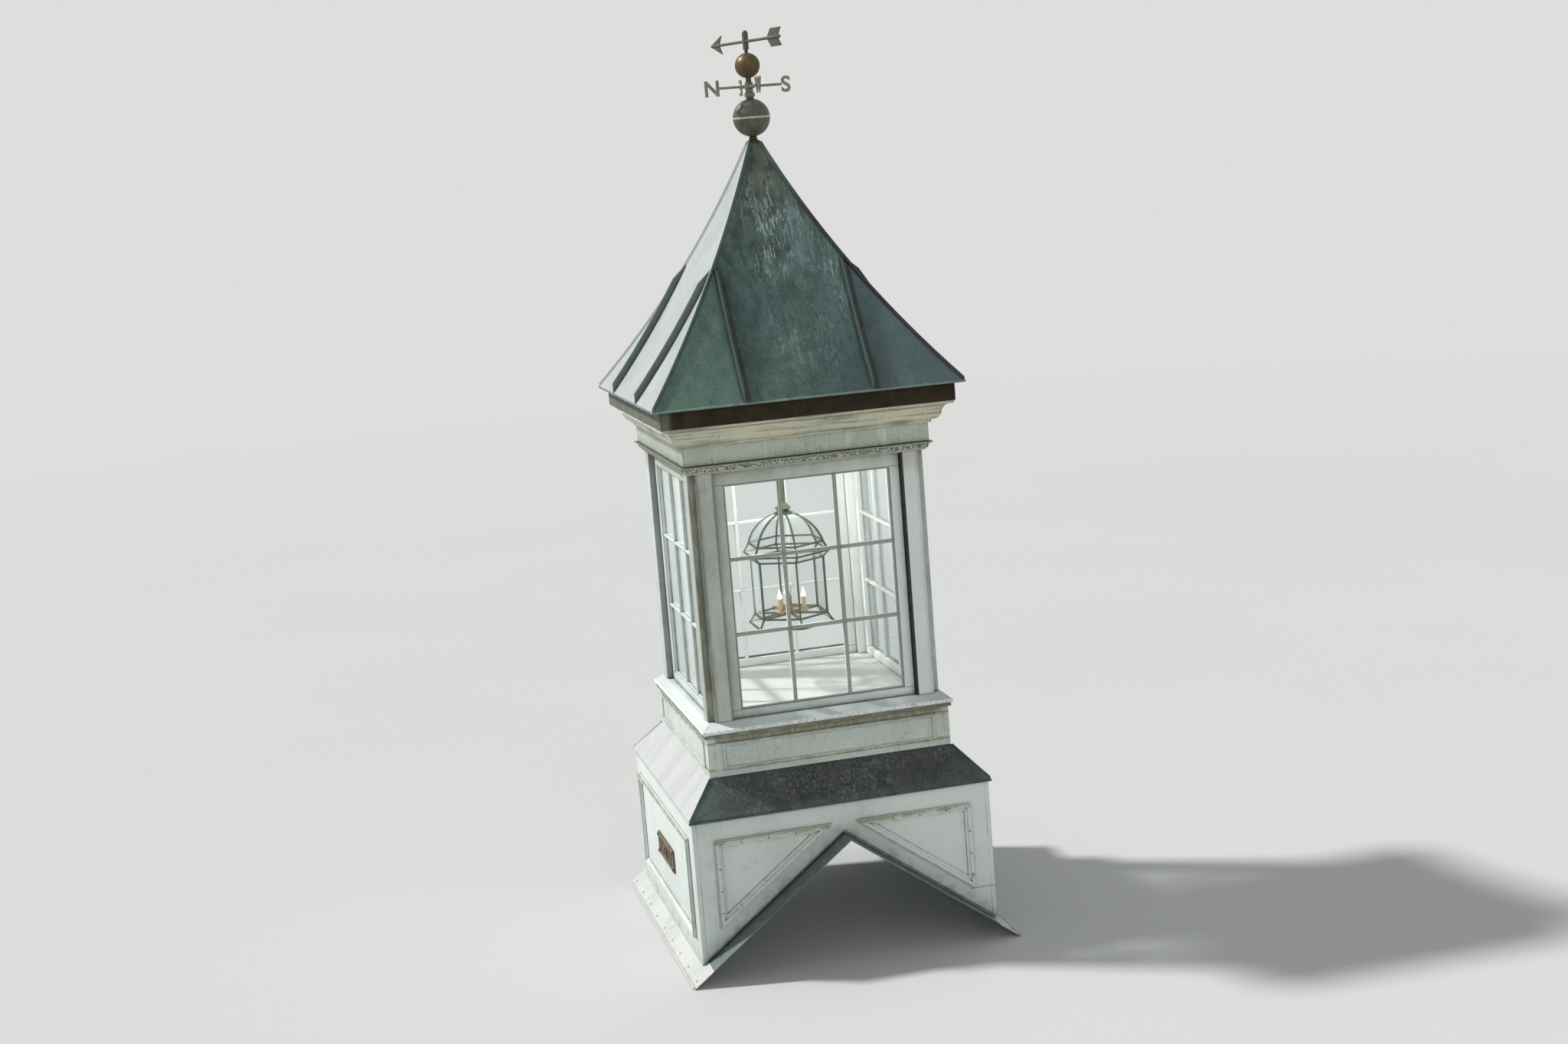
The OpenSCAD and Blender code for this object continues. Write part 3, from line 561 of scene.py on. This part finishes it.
def ring(name, half, z, radius):
    """A rod that runs right round the four sides, mitred at the corners: a round profile in the
    corner's plane, spun in four steps."""
    select_only()
    bpy.ops.mesh.primitive_circle_add(vertices=10, radius=radius, rotation=(math.pi / 2, 0, 0))
    piece = start_piece(name)
    piece.scale.x = math.sqrt(2)
    piece.rotation_euler.z = math.pi / 4
    piece.location = (half, half, z)
    bpy.ops.object.transform_apply(location=True, rotation=True, scale=True)
    bpy.ops.object.mode_set(mode="EDIT")
    bpy.ops.mesh.select_all(action="SELECT")
    bpy.ops.mesh.spin(steps=4, angle=math.tau, center=(0, 0, 0), axis=(0, 0, 1))
    bpy.ops.mesh.select_all(action="SELECT")
    bpy.ops.mesh.remove_doubles(threshold=0.00001)
    bpy.ops.mesh.normals_make_consistent(inside=False)
    bpy.ops.object.mode_set(mode="OBJECT")
    return piece


skirt_metal = old_sheet("skirt_metal", srgb(50, 54, 54), srgb(60, 65, 64), srgb(130, 140, 136), (1, 1),
                        metal=0.05, wear=0.5, gloss=0.5, stains=[
                            (srgb(116, 118, 118), skirt_bloom),
                            (srgb(78, 98, 93), skirt_corner),
                            (srgb(189, 190, 189), skirt_left_painted_sheen)])
dress(skirt_metal, "skirt_roof")
hem_r = 0.0045
settle(ring("skirt_hem", skirt_half - 0.001, skirt_low.z + hem_r, hem_r), skirt_metal)
hip_foot = Vector((skirt_half - 0.003, skirt_half - 0.003, skirt_low.z + skirt_edge + 0.001))
hip_head = Vector((dado_half + 0.003, dado_half + 0.003, skirt_high.z - 0.003))
run = hip_head - hip_foot
fold_w = 0.007
fold = bar("skirt_fold", (-fold_w / 2, -run.length / 2, -0.004), (fold_w / 2, run.length / 2, 0.005), 0.0022)
place_piece(fold, (hip_foot + hip_head) / 2, run.to_track_quat("Y", "Z").to_euler())
folds = [fold] + [copy_of(fold, turn=(0, 0, quarter * math.pi / 2)) for quarter in (1, 2, 3)]
settle(join("skirt_folds", folds), skirt_metal)


# Dado: a painted band with one long panel in each side, mossy where rain runs off the sill,
# with painted shade under the sill, lichen on the beads of the panel and small chips in the paint.
panel_low, panel_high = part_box("dado_mouldings")
panel_top = panel_high.z


def under_sill(coat, x, y, z):
    """Olive moss and painted shade in a band between the panel and the sill, away from the corners, and weak
    on the sunlit left.
    """
    band = z.ramp(panel_top, panel_top + 0.004) * (1 - 0.75 * on_left(coat, x, y, z))
    band = band * abs(x).least(abs(y)).ramp(dado_half - 0.023, dado_half - 0.043)
    return band * (0.6 + 0.4 * coat.noise(0.02, (1, 1, 0.3), detail=6, shift=11).ramp(0.3, 0.6))


def panel_shade(coat, x, y, z):
    """The dark line where that band ends on the top of the panel."""
    line = abs(z - (panel_top + 0.0018)).ramp(0.0028, 0.0012)
    return line * (0.5 + 0.4 * coat.noise(0.05, shift=13).ramp(0.35, 0.6))


def lichen(coat, x, y, z):
    """Olive-yellow lichen on the lower bead, and less on the upper one."""
    lower = abs(z - (panel_low.z + 0.004)).ramp(0.009, 0.003)
    upper = abs(z - (panel_top - 0.004)).ramp(0.007, 0.003)
    return (lower + upper * 0.7) * (0.3 + 0.6 * coat.noise(0.04, detail=5, shift=15).ramp(0.4, 0.62))


def paint_chips(coat, x, y, z):
    """Small bright chips of newer paint."""
    return coat.noise(0.014, detail=3, shift=31).ramp(0.7, 0.74) * coat.noise(0.15, shift=33).ramp(0.5, 0.62)


dado_paint = old_paint("dado_paint", srgb(206, 213, 206), 0.35, 0.7, 0.35, [
    (srgb(130, 129, 104), under_sill),
    (srgb(48, 49, 40), panel_shade),
    (srgb(138, 136, 98), lichen),
    (srgb(232, 234, 232), paint_chips)])
ease_boards(dado_paint, ["dado_walls"])
dress(dado_paint, "dado_mouldings")


# Sill and deck: the sill is milled from thick boards with a rounded nose, and mitred at the
# corners. The deck is the floor of the glazed room.
sill_low, sill_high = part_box("sill")
nose_foot = sill_low.z + 0.012


def under_nose(coat, x, y, z):
    """Dark olive moss under the nose of the sill, with painted shade under the nose."""
    moss = coat.noise(0.05, (1, 1, 3), detail=5, shift=35).ramp(0.35, 0.6)
    return z.ramp(nose_foot + 0.003, nose_foot) * (0.8 + 0.2 * moss)


def nose_flecks_and_highlight(coat, x, y, z):
    """White flecks along the nose, where the weather has scrubbed it, and a painted highlight there."""
    nose = abs(x).most(abs(y)).ramp(sill_high.x - 0.006, sill_high.x - 0.002)
    return nose * coat.noise(0.01, detail=4, shift=37).ramp(0.42, 0.52) * 0.85


sill_paint = old_paint("sill_paint", srgb(212, 218, 216), 0.22, 0.6, 0.15, corners=0.85, stains=[
    (srgb(106, 105, 84), under_nose),
    (srgb(240, 243, 241), nose_flecks_and_highlight)])
room_paint = old_paint("room_paint", srgb(230, 230, 226), 0.05, 0.1, 0.03, corners=0.2, chips=0)
ease_boards(sill_paint, ["sill"], 0.0015)
dress(room_paint, "deck", "ceiling")


# Corner posts: square posts with a notch down the outer corner, where mildew holds on and
# painted shade darkens it. The joint beside the right end of the front sash has opened, and
# the shade in it is painted black.
post_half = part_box("corner_posts")[1].x
post_notch = 0.025
sash_low, sash_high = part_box("sash_front")
sash_half = sash_high.x
pane_at = -(sash_low.y + sash_high.y) / 2


def notch_mildew_and_shade(coat, x, y, z):
    """Mildew and painted shade in the notch at the outer corner of each post, thick on the front left post.
    """
    deep = abs(x).least(abs(y)).ramp(post_half - post_notch - 0.022, post_half - post_notch)
    thick = 0.35 + 0.65 * (x * -1).ramp(-0.1, 0.1) * (y * -1).ramp(-0.1, 0.1)
    return deep * thick * (0.45 + 0.55 * coat.noise(0.04, (1, 1, 0.3), detail=6).ramp(0.3, 0.6))


def room_side_clean_and_painted_light(coat, x, y, z):
    """Clean white paint on what faces the room, made whiter as painted light."""
    return abs(x).most(abs(y)).ramp(pane_at + 0.0005, pane_at - 0.0005)


def weather_side(coat, x, y, z):
    """More grime toward the left end of the front, and toward the top."""
    left = x.ramp(-0.1, -0.5) * y.ramp(-0.3, -0.4)
    top = (z - sash_high.z).ramp(-0.112, -0.012) * 0.9
    return left.most(top) * (0.35 + 0.3 * coat.noise(0.08, (1, 1, 0.2)).ramp(0.35, 0.65))


def sash_joint_painted_shade(coat, x, y, z):
    """The open joint between a post and a sash, with painted shade in it, black at the right end of the
    front.
    """
    beside = abs(x).least(abs(y)).ramp(sash_half + 0.0105, sash_half + 0.008)
    outside = abs(x).most(abs(y)).ramp(pane_at - 0.002, pane_at + 0.013)
    return beside * outside * (0.5 + 0.5 * (x - y).ramp(0.5, 0.7))


post_paint = old_paint("post_paint", srgb(208, 215, 211), 0.35, 0.8, 0.35, clean=room_side_clean_and_painted_light, stains=[
    (srgb(228, 235, 230), painted_light_right_end),
    (srgb(150, 149, 126), weather_side),
    (srgb(110, 112, 100), notch_mildew_and_shade),
    (srgb(248, 249, 246), room_side_clean_and_painted_light),
    (srgb(30, 31, 28), sash_joint_painted_shade)])
ease_boards(post_paint, ["corner_posts"], 0.0025)


# Sashes: one fixed sash in each side, with nine panes. The frame is joined from stiles and
# rails, and the bars between the panes are moulded and bedded in putty with the glass.
opening = sash_half - 0.04
glass_low = sash_low.z + 0.033
glass_high = sash_high.z - 0.053
glass_h = glass_high - glass_low
pane_w = 2 * opening / 3
pane_h = glass_h / 3


def frame_joints(coat, x, y, z):
    """Hair joints where the rails meet the stiles."""
    on_stile = abs(x).least(abs(y)).ramp(opening - 0.0005, opening + 0.0005)
    from_middle = abs(z - (glass_low + glass_high) / 2)
    return abs(from_middle - glass_h / 2).ramp(0.0014, 0.0006) * on_stile


def outer_bars_putty_and_shade(coat, x, y, z):
    """Grey on the outer half of the front bars: their putty, and painted shade."""
    return (y + pane_at).ramp(-0.0015, -0.0045) * 0.7


def round_all(name, pieces, material):
    """The pieces of one side, and the same on the other three sides."""
    first = join(name + "_front", pieces)
    for quarter, side in enumerate(("right", "back", "left"), 1):
        other = copy_of(first, turn=(0, 0, quarter * math.pi / 2))
        other.name = name + "_" + side
        settle(other, material)
    settle(first, material)


sash_paint = old_paint("sash_paint", srgb(208, 217, 215), 0.25, 0.5, 0.25, clean=room_side_clean_and_painted_light, stains=[
    (srgb(232, 239, 236), painted_light_right_end),
    (srgb(150, 149, 126), weather_side),
    (srgb(248, 249, 246), room_side_clean_and_painted_light),
    (srgb(70, 72, 66), frame_joints)])
bar_paint = old_paint("bar_paint", srgb(208, 215, 212), 0.28, 0.5, 0.25, clean=room_side_clean_and_painted_light, stains=[
    (srgb(248, 249, 246), room_side_clean_and_painted_light),
    (srgb(132, 136, 126), outer_bars_putty_and_shade)])
ease_boards(sash_paint, ["sash_front", "sash_back", "sash_left", "sash_right"], 0.003)
bar_half = 0.0065
bar_face, bar_back = sash_low.y + 0.005, sash_high.y - 0.005
bar_ease = 0.004
lap = 0.001
first_bar = -pane_w / 2
upright = bar("upright", (first_bar - bar_half, bar_face, glass_low - lap),
              (first_bar + bar_half, bar_back, glass_high + lap), bar_ease)
crossing = bar("crossing", (-opening - lap, bar_face, glass_low + pane_h - bar_half),
               (first_bar - bar_half + 0.002, bar_back, glass_low + pane_h + bar_half), bar_ease)
bars = [upright, copy_of(upright, (pane_w, 0, 0)), crossing, copy_of(crossing, (0, 0, pane_h))]
for column in (1, 2):
    bars += [copy_of(crossing, (column * pane_w, 0, row * pane_h)) for row in (0, 1)]
putty_w = 0.008
putty_back = sash_low.y + 0.018
putty_corner = (-opening - lap, sash_low.y + 0.006, glass_low - lap)
putty = bar("putty", putty_corner, (-opening + putty_w, putty_back, glass_high + lap), bar_ease)
bars += [putty, copy_of(putty, (2 * opening + lap - putty_w, 0, 0))]
putty = bar("putty", putty_corner, (opening + lap, putty_back, glass_low + putty_w), bar_ease)
bars += [putty, copy_of(putty, (0, 0, glass_h + lap - putty_w))]
round_all("window_bars", bars, bar_paint)


def clear_glass(name, dirt_amount):
    """Thin window glass: clear, with a pale sheen at a glance and a film of dirt."""
    material, coat = new_finish(name)
    dirt = coat.noise(0.2, detail=6).ramp(0.45, 0.8) * dirt_amount
    gloss = coat.node("ShaderNodeBsdfPrincipled", {
        "Base Color": srgb(214, 222, 222), "Roughness": 0.05 + dirt, "Specular IOR Level": 0.8})
    clear = coat.node("ShaderNodeBsdfTransparent", {"Color": (0.985, 0.993, 0.99, 1)})
    glance = coat.node("ShaderNodeLayerWeight", {"Blend": 0.5}, "Facing")
    steep = glance * glance * glance
    mixed = coat.node("ShaderNodeMixShader", {0: 0.03 + steep * 0.75 + dirt * 0.15, 1: clear, 2: gloss})
    coat.node("ShaderNodeOutputMaterial", {0: mixed})
    return material


dress(clear_glass("window_glass", 0.25), "window_glass")


# Cornice: head boards over the sashes, a bed moulding, a frieze and a crown moulding, all of
# painted wood. The crown has lost much of its paint and has gone the colour of old cream.
bed_low, bed_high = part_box("bed_moulding")
bed_top = bed_high.z
crown_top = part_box("crown_moulding")[1].z


def pale_runs(coat, x, y, z):
    """Two broad pale runs down the frieze on the right, and faint ones beside them."""
    broad = abs(x - 0.31).ramp(0.016, 0.006) + abs(x - 0.44).ramp(0.014, 0.004)
    fine = coat.noise(0.014, (1, 1, 0.04), shift=41).ramp(0.6, 0.68) * 0.5
    return (broad * 0.75 + fine).least(1) * coat.noise(0.03, (1, 1, 0.2), shift=5).ramp(0.3, 0.55)


def frieze_foot(coat, x, y, z):
    """The open joint between the frieze and the bed moulding, painted dark as a shadow line, and mildew above
    it.
    """
    over_bed = z - bed_top
    from_joint = over_bed.ramp(-0.0085, -0.0045)
    # Painted shadow line along the joint.
    joint = over_bed.ramp(0.004, 0.0025) * from_joint * 0.85
    mildew = coat.noise(0.012, detail=5, shift=49).ramp(0.5, 0.62) * over_bed.ramp(0.051, 0.006) * from_joint
    return joint.most(mildew * 0.45 * coat.noise(0.2, shift=50).ramp(0.35, 0.6))


def bed_crust(coat, x, y, z):
    """Black crust in specks along the middle of the bed moulding, and a painted shadow line at its top."""
    middle = abs(z - (bed_low.z + 0.018)).ramp(0.015, 0.007)
    speck = coat.noise(0.009, detail=4, shift=46).ramp(0.44, 0.53) * middle
    top_shadow_line = (z - bed_top).ramp(-0.004, -0.0025) * 0.8
    return (speck * 0.8 * coat.noise(0.1, shift=47).ramp(0.2, 0.42)).most(top_shadow_line)


def left_crown_painted_light(coat, x, y, z):
    """Painted light: the crown is lighter on the sunlit left, where its paint has also held better."""
    return on_left(coat, x, y, z) * 0.7


def worn_crown_and_shadow_line(coat, x, y, z):
    """Thin dark streaks along the crown, and a painted shadow line under its fillet."""
    streak = coat.noise(0.008, (0.04, 0.04, 1), detail=5, shift=43).ramp(0.5, 0.66)
    streak = streak * 0.7 * coat.noise(0.15, shift=44).ramp(0.35, 0.6)
    return streak.most(abs(z - (crown_top - 0.015)).ramp(0.004, 0.002) * 0.75)


head_paint = old_paint("head_paint", srgb(186, 193, 174), 0.4, 1, 0.3, clean=room_side_clean_and_painted_light, stains=[
    (srgb(206, 212, 204), pale_runs),
    (srgb(58, 62, 58), frieze_foot),
    (srgb(230, 231, 226), room_side_clean_and_painted_light)])
bed_paint = old_paint("bed_paint", srgb(188, 189, 166), 0.35, 1, 0.3, [(srgb(62, 64, 56), bed_crust)],
                      corners=0.9)
crown_paint = old_paint("crown_paint", srgb(206, 203, 178), 0.25, 0.8, 0.3, [
    (srgb(224, 226, 214), left_crown_painted_light),
    (srgb(104, 98, 78), worn_crown_and_shadow_line)])
ease_boards(head_paint, ["head_boards", "frieze"], 0.0015)
dress(bed_paint, "bed_moulding")
dress(crown_paint, "crown_moulding")


# Fascia: a broad strip of copper bent over the edge of the roof boards, brown in front and
# grey-green with streaks on the left and round the left corner, made paler there by painted
# light of the sunlit side.
fascia_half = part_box("fascia")[1].x


def fascia_left_patina_and_light(coat, x, y, z):
    """Grey-green patina on the left, and a few centimetres round the corner, made paler as painted light of
    the sunlit side.
    """
    streaks = coat.noise(0.01, (1, 1, 0.1), shift=51).ramp(0.35, 0.65)
    corner = (x + fascia_half).ramp(0.052, 0.022) * (y + fascia_half).ramp(0.087, 0.037) * 0.8
    return on_left(coat, x, y, z).most(corner) * (0.55 + 0.45 * streaks)


fascia_metal = old_sheet("fascia_metal", srgb(52, 45, 29), srgb(42, 38, 25), srgb(84, 78, 58), (1, 1),
                         metal=0, stains=[(srgb(118, 122, 110), fascia_left_patina_and_light)], gloss=0.6,
                         **{"Specular IOR Level": 0.15})
dress(fascia_metal, "fascia")


# Roof: four concave faces of copper sheet, with two standing seams in each and a fold on each
# hip. The front has gone dark teal with pale streaks, and the left is paler from the sun and
# carries a painted sheen of sunlight. Painted shade darkens the seams and the lee of each seam.
roof_low, roof_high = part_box("roof_front")
eave_z = roof_low.z
seam_at = 0.255


def left_pan(coat, x, y, z):
    """The sheet left of the left seam."""
    return x.ramp(-0.22, -0.3) * 0.7


def right_pan(coat, x, y, z):
    """The sheet right of the right seam, in clouds."""
    return x.ramp(0.24, 0.28) * (0.5 + 0.4 * coat.noise(0.12, shift=61).ramp(0.35, 0.65))


def near_tip(coat, x, y, z):
    """Brown-grey toward the tip."""
    return (z - eave_z).ramp(0.51, 0.86) * 0.75


def low_shade(coat, x, y, z):
    """The lower right part of the face is darker."""
    return (z - eave_z).ramp(0.51, 0.11) * x.ramp(-0.15, 0.25) * 0.45


def dark_mottle(coat, x, y, z):
    """Black-green mottling, strong under the tip and weak toward the eave."""
    cloud = coat.noise(0.05, (1, 0, 0.6), detail=8, shift=81).ramp(0.42, 0.62)
    return cloud * (0.25 + 0.45 * (z - eave_z).ramp(0.26, 0.61)) * x.ramp(0.3, 0.1)


def patch(x, z, across, rise, half_width, half_height):
    """1 round a place so far across and so high over the eave, and 0 beyond its half width and
    half height."""
    beside = abs(x - across).ramp(half_width, half_width * 0.3)
    return beside * abs(z - (eave_z + rise)).ramp(half_height, half_height * 0.3)


def pale_wash(coat, x, y, z):
    """Blue-white wash in runs, right of the middle under the tip and beside the right seam."""
    run = coat.noise(0.02, (1, 0, 0.12), detail=6, shift=79).ramp(0.35, 0.65)
    under_tip = patch(x, z, 0.09, 0.64, 0.09, 0.24)
    by_seam = patch(x, z, 0.19, 0.36, 0.09, 0.35) * 0.3
    return under_tip.most(by_seam) * run * 0.5


def soot_flecks(coat, x, y, z):
    """Fine dark flecks, thicker toward the eave."""
    flecks = coat.noise(0.007, (1, 0, 0.7), detail=6, shift=77).ramp(0.5, 0.72)
    return flecks * (0.3 + 0.25 * (z - eave_z).ramp(0.56, 0.16))


def scratches(coat, x, y, z):
    """Pale scratches and runs, mostly high on the face, and beside the right seam."""
    fine = coat.noise(0.006, (1, 0, 0.13), detail=7, shift=71).ramp(0.5, 0.66)
    short = coat.noise(0.007, (1, 0, 0.4), detail=6, shift=73).ramp(0.53, 0.66)
    drift = coat.noise(0.045, (1, 0, 0.5), detail=6, shift=75).ramp(0.38, 0.6)
    high_up = patch(x, z, 0.02, 0.64, 0.2, 0.27)
    by_seam = patch(x, z, 0.21, 0.42, 0.05, 0.2) * 0.7
    low_down = patch(x, z, 0.02, 0.21, 0.2, 0.2) * 0.35
    return (fine + short).least(1) * high_up.most(by_seam).most(low_down) * drift * 0.7


def shadow_past_seam(past):
    """Painted shadow: dark close behind a seam, and fading out, by the distance past its middle."""
    return (past.ramp(0.03, 0.014) + past.ramp(0.13, 0.0) * 0.4) * past.ramp(-0.004, 0.0)


def seam_shadows_and_soot(coat, x, y, z):
    """Painted shadow and soot in a dark line on the lee side of each seam."""
    lee = (shadow_past_seam(x + seam_at) + shadow_past_seam(x - seam_at)).least(1)
    return lee * (z - eave_z).ramp(0.6, 0.46) * 0.8


front_copper = old_sheet("front_copper", srgb(86, 111, 106), srgb(72, 98, 96), srgb(150, 170, 164), (1, 0),
                         amount=0.8, stains=[
                             (srgb(98, 126, 112), left_pan),
                             (srgb(104, 123, 128), right_pan),
                             (srgb(94, 97, 82), near_tip),
                             (srgb(56, 70, 70), low_shade),
                             (srgb(44, 52, 46), dark_mottle),
                             (srgb(134, 160, 162), pale_wash),
                             (srgb(40, 52, 50), soot_flecks),
                             (srgb(176, 196, 194), scratches),
                             (srgb(32, 40, 38), seam_shadows_and_soot)])
# Painted sheen: the left face is pale and silvery for the sun on that side, over patina that the sun has
# paled.
side_copper_painted_sheen = old_sheet("side_copper_painted_sheen", srgb(176, 181, 181), srgb(160, 167, 166), srgb(198, 202, 202), (0, 1),
                        amount=0.7, dark=srgb(124, 131, 130), metal=0.05, wear=0.6, gloss=0.5)
lee_copper = old_sheet("lee_copper", srgb(96, 118, 108), srgb(120, 144, 132), srgb(168, 184, 174), (0, 1),
                       amount=0.8)
rear_copper = old_sheet("rear_copper", srgb(92, 114, 106), srgb(116, 140, 130), srgb(168, 184, 174), (1, 0),
                        amount=0.8)
dress(front_copper, "roof_front")
dress(side_copper_painted_sheen, "roof_left")
dress(lee_copper, "roof_right")
dress(rear_copper, "roof_back")


def on_front(coat, x, y, z):
    """The front seams, apart from their right flanks in painted shade, are as green as the front."""
    past_left, past_right = x + seam_at, x - seam_at
    left_flank = past_left.ramp(-0.004, 0.0) * past_left.ramp(0.05, 0.04)
    right_flank = past_right.ramp(-0.004, 0.0)
    return in_front(coat, x, y, z) * (1 - left_flank.most(right_flank))


def right_hips_painted_shade(coat, x, y, z):
    """Painted shade: the two hips on the right are nearly black, but not at the tip."""
    return x.ramp(0.0, 0.02) * (z - eave_z).ramp(0.86, 0.66)


# Painted shade: the seams are near black, grey on the left, and green like the front only on the faces in
# front that the light reaches.
seam_copper_painted_shade = old_sheet("seam_copper_painted_shade", srgb(40, 48, 46), srgb(50, 58, 56), srgb(100, 114, 108), (1, 1),
                        stains=[(srgb(104, 116, 110), on_left), (srgb(78, 98, 91), on_front)])
# Painted sheen on the hips of the left, pale as the sunlit side, and painted shade on the hips of the right.
hip_copper_painted_sheen_and_shade = old_sheet("hip_copper_painted_sheen_and_shade", srgb(80, 100, 92), srgb(70, 88, 82), srgb(130, 146, 140), (1, 1),
                       metal=0.1, stains=[
                           (srgb(42, 48, 46), right_hips_painted_shade),
                           (srgb(178, 184, 182), on_left)])
hem_copper = old_sheet("hem_copper", srgb(112, 134, 124), srgb(134, 154, 144), srgb(180, 194, 186), (1, 1))
dress(seam_copper_painted_shade, "batten_seams")
dress(hip_copper_painted_sheen_and_shade, "hip_caps")
settle(ring("eave_hem", roof_high.x - 0.0005, eave_z + hem_r, hem_r), hem_copper)


# Finial and weathervane: a neck and two balls on a rod, with arms to the four winds between
# them, and an arrow that turns at the top. The large ball is spun in two halves of copper with
# a bright lap between them, the arrow is copper too, and the rest is brass with soldered letters.
ball_low, ball_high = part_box("large_ball")
ball_z = (ball_low.z + ball_high.z) / 2


def ball_lap(coat, x, y, z):
    """The bright lap round the middle of the large ball."""
    return abs(z - ball_z).ramp(0.005, 0.002) * 0.8


ball_metal = old_sheet("ball_metal", srgb(93, 93, 81), srgb(83, 87, 76), srgb(150, 150, 140), (1, 1),
                       metal=0.4, stains=[(srgb(214, 212, 200), ball_lap)])
brass_metal = old_sheet("brass_metal", srgb(98, 82, 52), srgb(78, 72, 52), srgb(140, 126, 88), (1, 1),
                        metal=0.5)
arm_metal = old_sheet("arm_metal", srgb(136, 134, 118), srgb(110, 110, 96), srgb(190, 190, 176), (1, 1),
                      metal=0.5)
dress(ball_metal, "large_ball", "vane_arrow")
dress(brass_metal, "vane_rod", "small_ball", "finial_neck")
dress(arm_metal, "compass_arms")
arm_low, arm_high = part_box("compass_arms")
arm_z = arm_low.z + 0.0495
letter_h = 0.06
capital_share = 0.7
letter_at = arm_high.x + 0.018
w_further = 0.006


def letter(sign, name, place, turn):
    """A letter cut from plate, upright on the end of an arm, with its edges a little rounded."""
    select_only()
    bpy.ops.object.text_add()
    piece = bpy.context.object
    piece.data.body = sign
    piece.data.size = letter_h / capital_share
    piece.data.offset = 0.0018
    piece.data.extrude = 0.002
    piece.data.bevel_depth = 0.0006
    bpy.ops.object.convert(target="MESH")
    piece = start_piece(name)
    across = [corner.co.x for corner in piece.data.vertices]
    upward = [corner.co.y for corner in piece.data.vertices]
    middle = Vector(((min(across) + max(across)) / 2, (min(upward) + max(upward)) / 2, 0))
    place_piece(piece, -middle)
    place_piece(piece, place, (math.pi / 2, 0, turn))
    settle(piece, arm_metal)


letter("S", "letter_south", (letter_at, 0, arm_z), 0)
letter("N", "letter_north", (-letter_at, 0, arm_z), 0)
letter("W", "letter_west", (0, -letter_at - w_further, arm_z), math.pi / 2)
letter("E", "letter_east", (0, letter_at, arm_z), math.pi / 2)


# Lantern: a six-sided lamp of clear glass in dark brass strips, which hangs from the ceiling by
# a tube. Three candle sleeves stand in cups on a brass ring round a turned stem, and drops hang
# from the arms between them.
lamp_metal = old_sheet("lamp_metal", srgb(116, 118, 98), srgb(92, 98, 82), srgb(130, 130, 108), (1, 1),
                       metal=0.6)
dress(lamp_metal, "lantern_stem", "lantern_frame")
dress(clear_glass("lantern_glass", 0.4), "lantern_glass")

candle_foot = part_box("lantern_candles")[0].z
cup_top = candle_foot + 0.011
bulb_z = candle_foot + 0.066
material, coat = new_finish("candle_finish")
x, y, z = coat.place()
sleeve = z.ramp(cup_top, cup_top + 0.001)
bulb = z.ramp(bulb_z - 0.002, bulb_z + 0.001)
wear = coat.noise(0.01, detail=4).ramp(0.4, 0.7)
cup_colour = coat.mix(wear * 0.5, srgb(196, 150, 70), srgb(140, 98, 44))
sleeve_colour = coat.mix(wear * 0.3, srgb(234, 202, 140), srgb(212, 170, 104))
colour = coat.mix(bulb, coat.mix(sleeve, cup_colour, sleeve_colour), srgb(250, 246, 232))
glowing = coat.mix(bulb, (0, 0, 0, 1), (1, 0.9, 0.7, 1))
surface(coat, colour, 0.32 - bulb * 0.2 + wear * 0.1, wear, 0.0005,
        **{"Emission Color": glowing, "Emission Strength": 1.6})
dress(material, "lantern_candles")

candle_brass = old_sheet("candle_brass", srgb(190, 146, 70), srgb(150, 112, 54), srgb(226, 196, 130), (1, 1),
                         metal=0.7, gloss=0.2)
candle_at = 0.058
drop_at = 0.074
drop_r = 0.007
drop_tip = 0.006
ring_z = candle_foot + 0.02
pieces = [flat_ring("candle_ring", candle_at, 0.006, (0, 0, ring_z))]
for count in range(6):
    hangs = count % 2 == 1
    reach = drop_at if hangs else candle_at
    arm = bar("arm", (0, -0.003, ring_z - 0.002), (reach, 0.003, ring_z + 0.002), 0.0015)
    if hangs:
        select_only()
        bpy.ops.mesh.primitive_uv_sphere_add(segments=14, ring_count=8, radius=drop_r,
                                             location=(reach, 0, ring_z))
        drop = start_piece("drop")
        bpy.ops.object.mode_set(mode="EDIT")
        pick(drop, "vert", lambda vert: vert.co.z < ring_z - drop_tip)
        bpy.ops.transform.translate(value=(0, 0, -drop_tip))
        bpy.ops.object.mode_set(mode="OBJECT")
        arm = join("arm", [arm, drop])
    pieces.append(place_piece(arm, turn=(0, 0, math.radians(90 + 60 * count))))
column_h = 0.012
select_only()
bpy.ops.mesh.primitive_cylinder_add(vertices=20, radius=0.007, depth=column_h,
                                    location=(0, 0, candle_foot + column_h / 2))
column = start_piece("column")
bpy.ops.object.mode_set(mode="EDIT")
pick(column, "face", lambda face: face.normal.z > 0.9)
for rise, swell in ((0.006, 2), (0.008, 0.45), (0.03, 0.9), (0.006, 1.7), (0.008, 0.5), (0.012, 0.3)):
    bpy.ops.mesh.extrude_region_move(TRANSFORM_OT_translate={"value": (0, 0, rise)})
    bpy.ops.transform.resize(value=(swell, swell, 1))
bpy.ops.object.mode_set(mode="OBJECT")
settle(join("candle_ring", [*pieces, column]), candle_brass)
